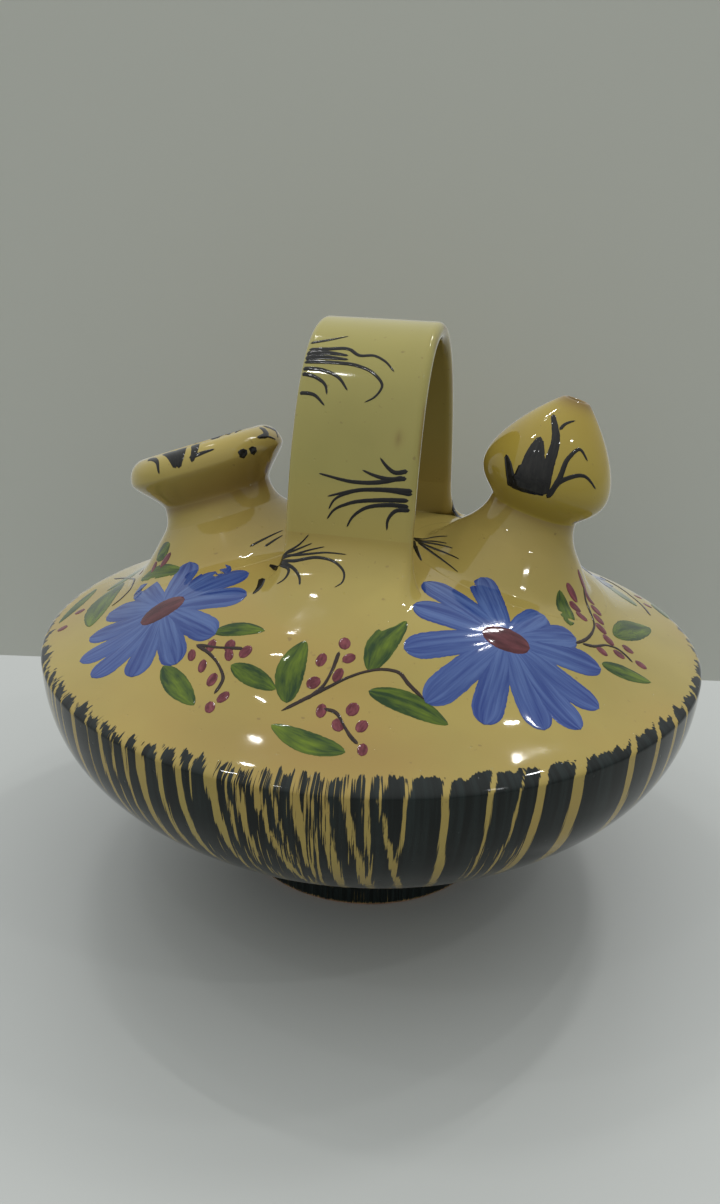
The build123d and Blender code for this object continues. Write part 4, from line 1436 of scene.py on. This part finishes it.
world = bpy.data.worlds.new("studio")
bpy.context.scene.world = world
world.use_nodes = True
sky = world.node_tree
sky_axes = add(sky, "ShaderNodeSeparateXYZ", {0: add(sky, "ShaderNodeTexCoord").outputs["Generated"]})
sky_rise = ramp(sky, sky_axes.outputs[2], low=0.0, high=1.0, to_low=0.44, to_high=1.26)
sky_depth = ramp(sky, sky_axes.outputs[1], low=-1.0, high=1.0, to_low=0.95, to_high=1.0)
sky_side = ramp(sky, sky_axes.outputs[0], low=-1.0, high=1.0, to_low=1.18, to_high=0.86)
sky_colour = (0.97, 1.0, 1.0, 1.0)
sky_level = maths(sky, "MULTIPLY", maths(sky, "MULTIPLY", sky_rise, sky_depth), sky_side)
sky.nodes["Background"].inputs["Color"].default_value = sky_colour
sky.links.new(sky_level, sky.nodes["Background"].inputs["Strength"])

lamp_distance = 2.0
lamp_brightness = 140.0
lamps = [
    ("lamp_tube_right", (0.28, 0.40, 0.87), (0.36, 0.50, 0.79), 0.024),
    ("lamp_tube_far", (0.29, 0.47, 0.84), (0.36, 0.55, 0.76), 0.018),
    ("lamp_right_rear", (0.38, 0.28, 0.88), (0.40, 0.33, 0.85), 0.034),
    ("lamp_tube_left", (-0.37, 0.29, 0.88), (-0.26, 0.26, 0.93), 0.024),
    ("lamp_left_rear", (-0.37, 0.20, 0.91), (-0.34, 0.20, 0.92), 0.028),
    ("lamp_left", (-0.44, -0.06, 0.90), (-0.39, -0.05, 0.92), 0.022),
    ("lamp_front_left", (-0.27, -0.43, 0.86), (-0.23, -0.45, 0.86), 0.022),
    ("lamp_right", (0.53, -0.27, 0.81), (0.60, -0.23, 0.77), 0.022),
]
lamp_target = Vector((0.0, 0.0, 0.11))
for lamp_name, first_end, second_end, lamp_width in lamps:
    lamp_ends = [Vector(end).normalized() * lamp_distance for end in (first_end, second_end)]
    lamp_along = (lamp_ends[1] - lamp_ends[0]).normalized()
    lamp_middle = (lamp_ends[0] + lamp_ends[1]) / 2
    lamp_back = lamp_middle.normalized()
    lamp = bpy.data.lights.new(lamp_name, "AREA")
    lamp.shape = "RECTANGLE"
    lamp.size, lamp.size_y = (lamp_ends[1] - lamp_ends[0]).length, lamp_width
    lamp.energy = lamp_brightness * math.pi * lamp.size * lamp.size_y
    lamp_object = new_object(lamp_name, lamp)
    lamp_object.location = lamp_target + lamp_middle
    lamp_axes = Matrix((lamp_along, lamp_back.cross(lamp_along), lamp_back)).transposed()
    lamp_object.rotation_euler = lamp_axes.to_euler()

image_height = 1204
focal_pixels = 1070.1
view_pitch = math.radians(21.42)
view_roll = math.radians(1.74)
view_turn = math.radians(12.66)
camera_place = (77.2 * mm, -364.4 * mm, 245.3 * mm)
centre_drop = 3.2
ahead = np.array([-math.sin(view_turn) * math.cos(view_pitch), math.cos(view_turn) * math.cos(view_pitch),
                  -math.sin(view_pitch)])
level = np.array([math.cos(view_turn), math.sin(view_turn), 0.0])
upright = np.cross(level, ahead)
across = math.cos(view_roll) * level + math.sin(view_roll) * upright
upwards = math.cos(view_roll) * upright - math.sin(view_roll) * level
lens = bpy.data.cameras.new("camera")
lens.sensor_fit = "VERTICAL"
lens.sensor_height = 36.0
lens.lens = focal_pixels * lens.sensor_height / image_height
lens.shift_y = centre_drop / image_height
lens.clip_start = 0.01
camera = new_object("camera", lens)
camera.matrix_world = Matrix([
    [across[0], upwards[0], -ahead[0], camera_place[0]],
    [across[1], upwards[1], -ahead[1], camera_place[1]],
    [across[2], upwards[2], -ahead[2], camera_place[2]],
    [0, 0, 0, 1],
])
bpy.context.scene.camera = camera
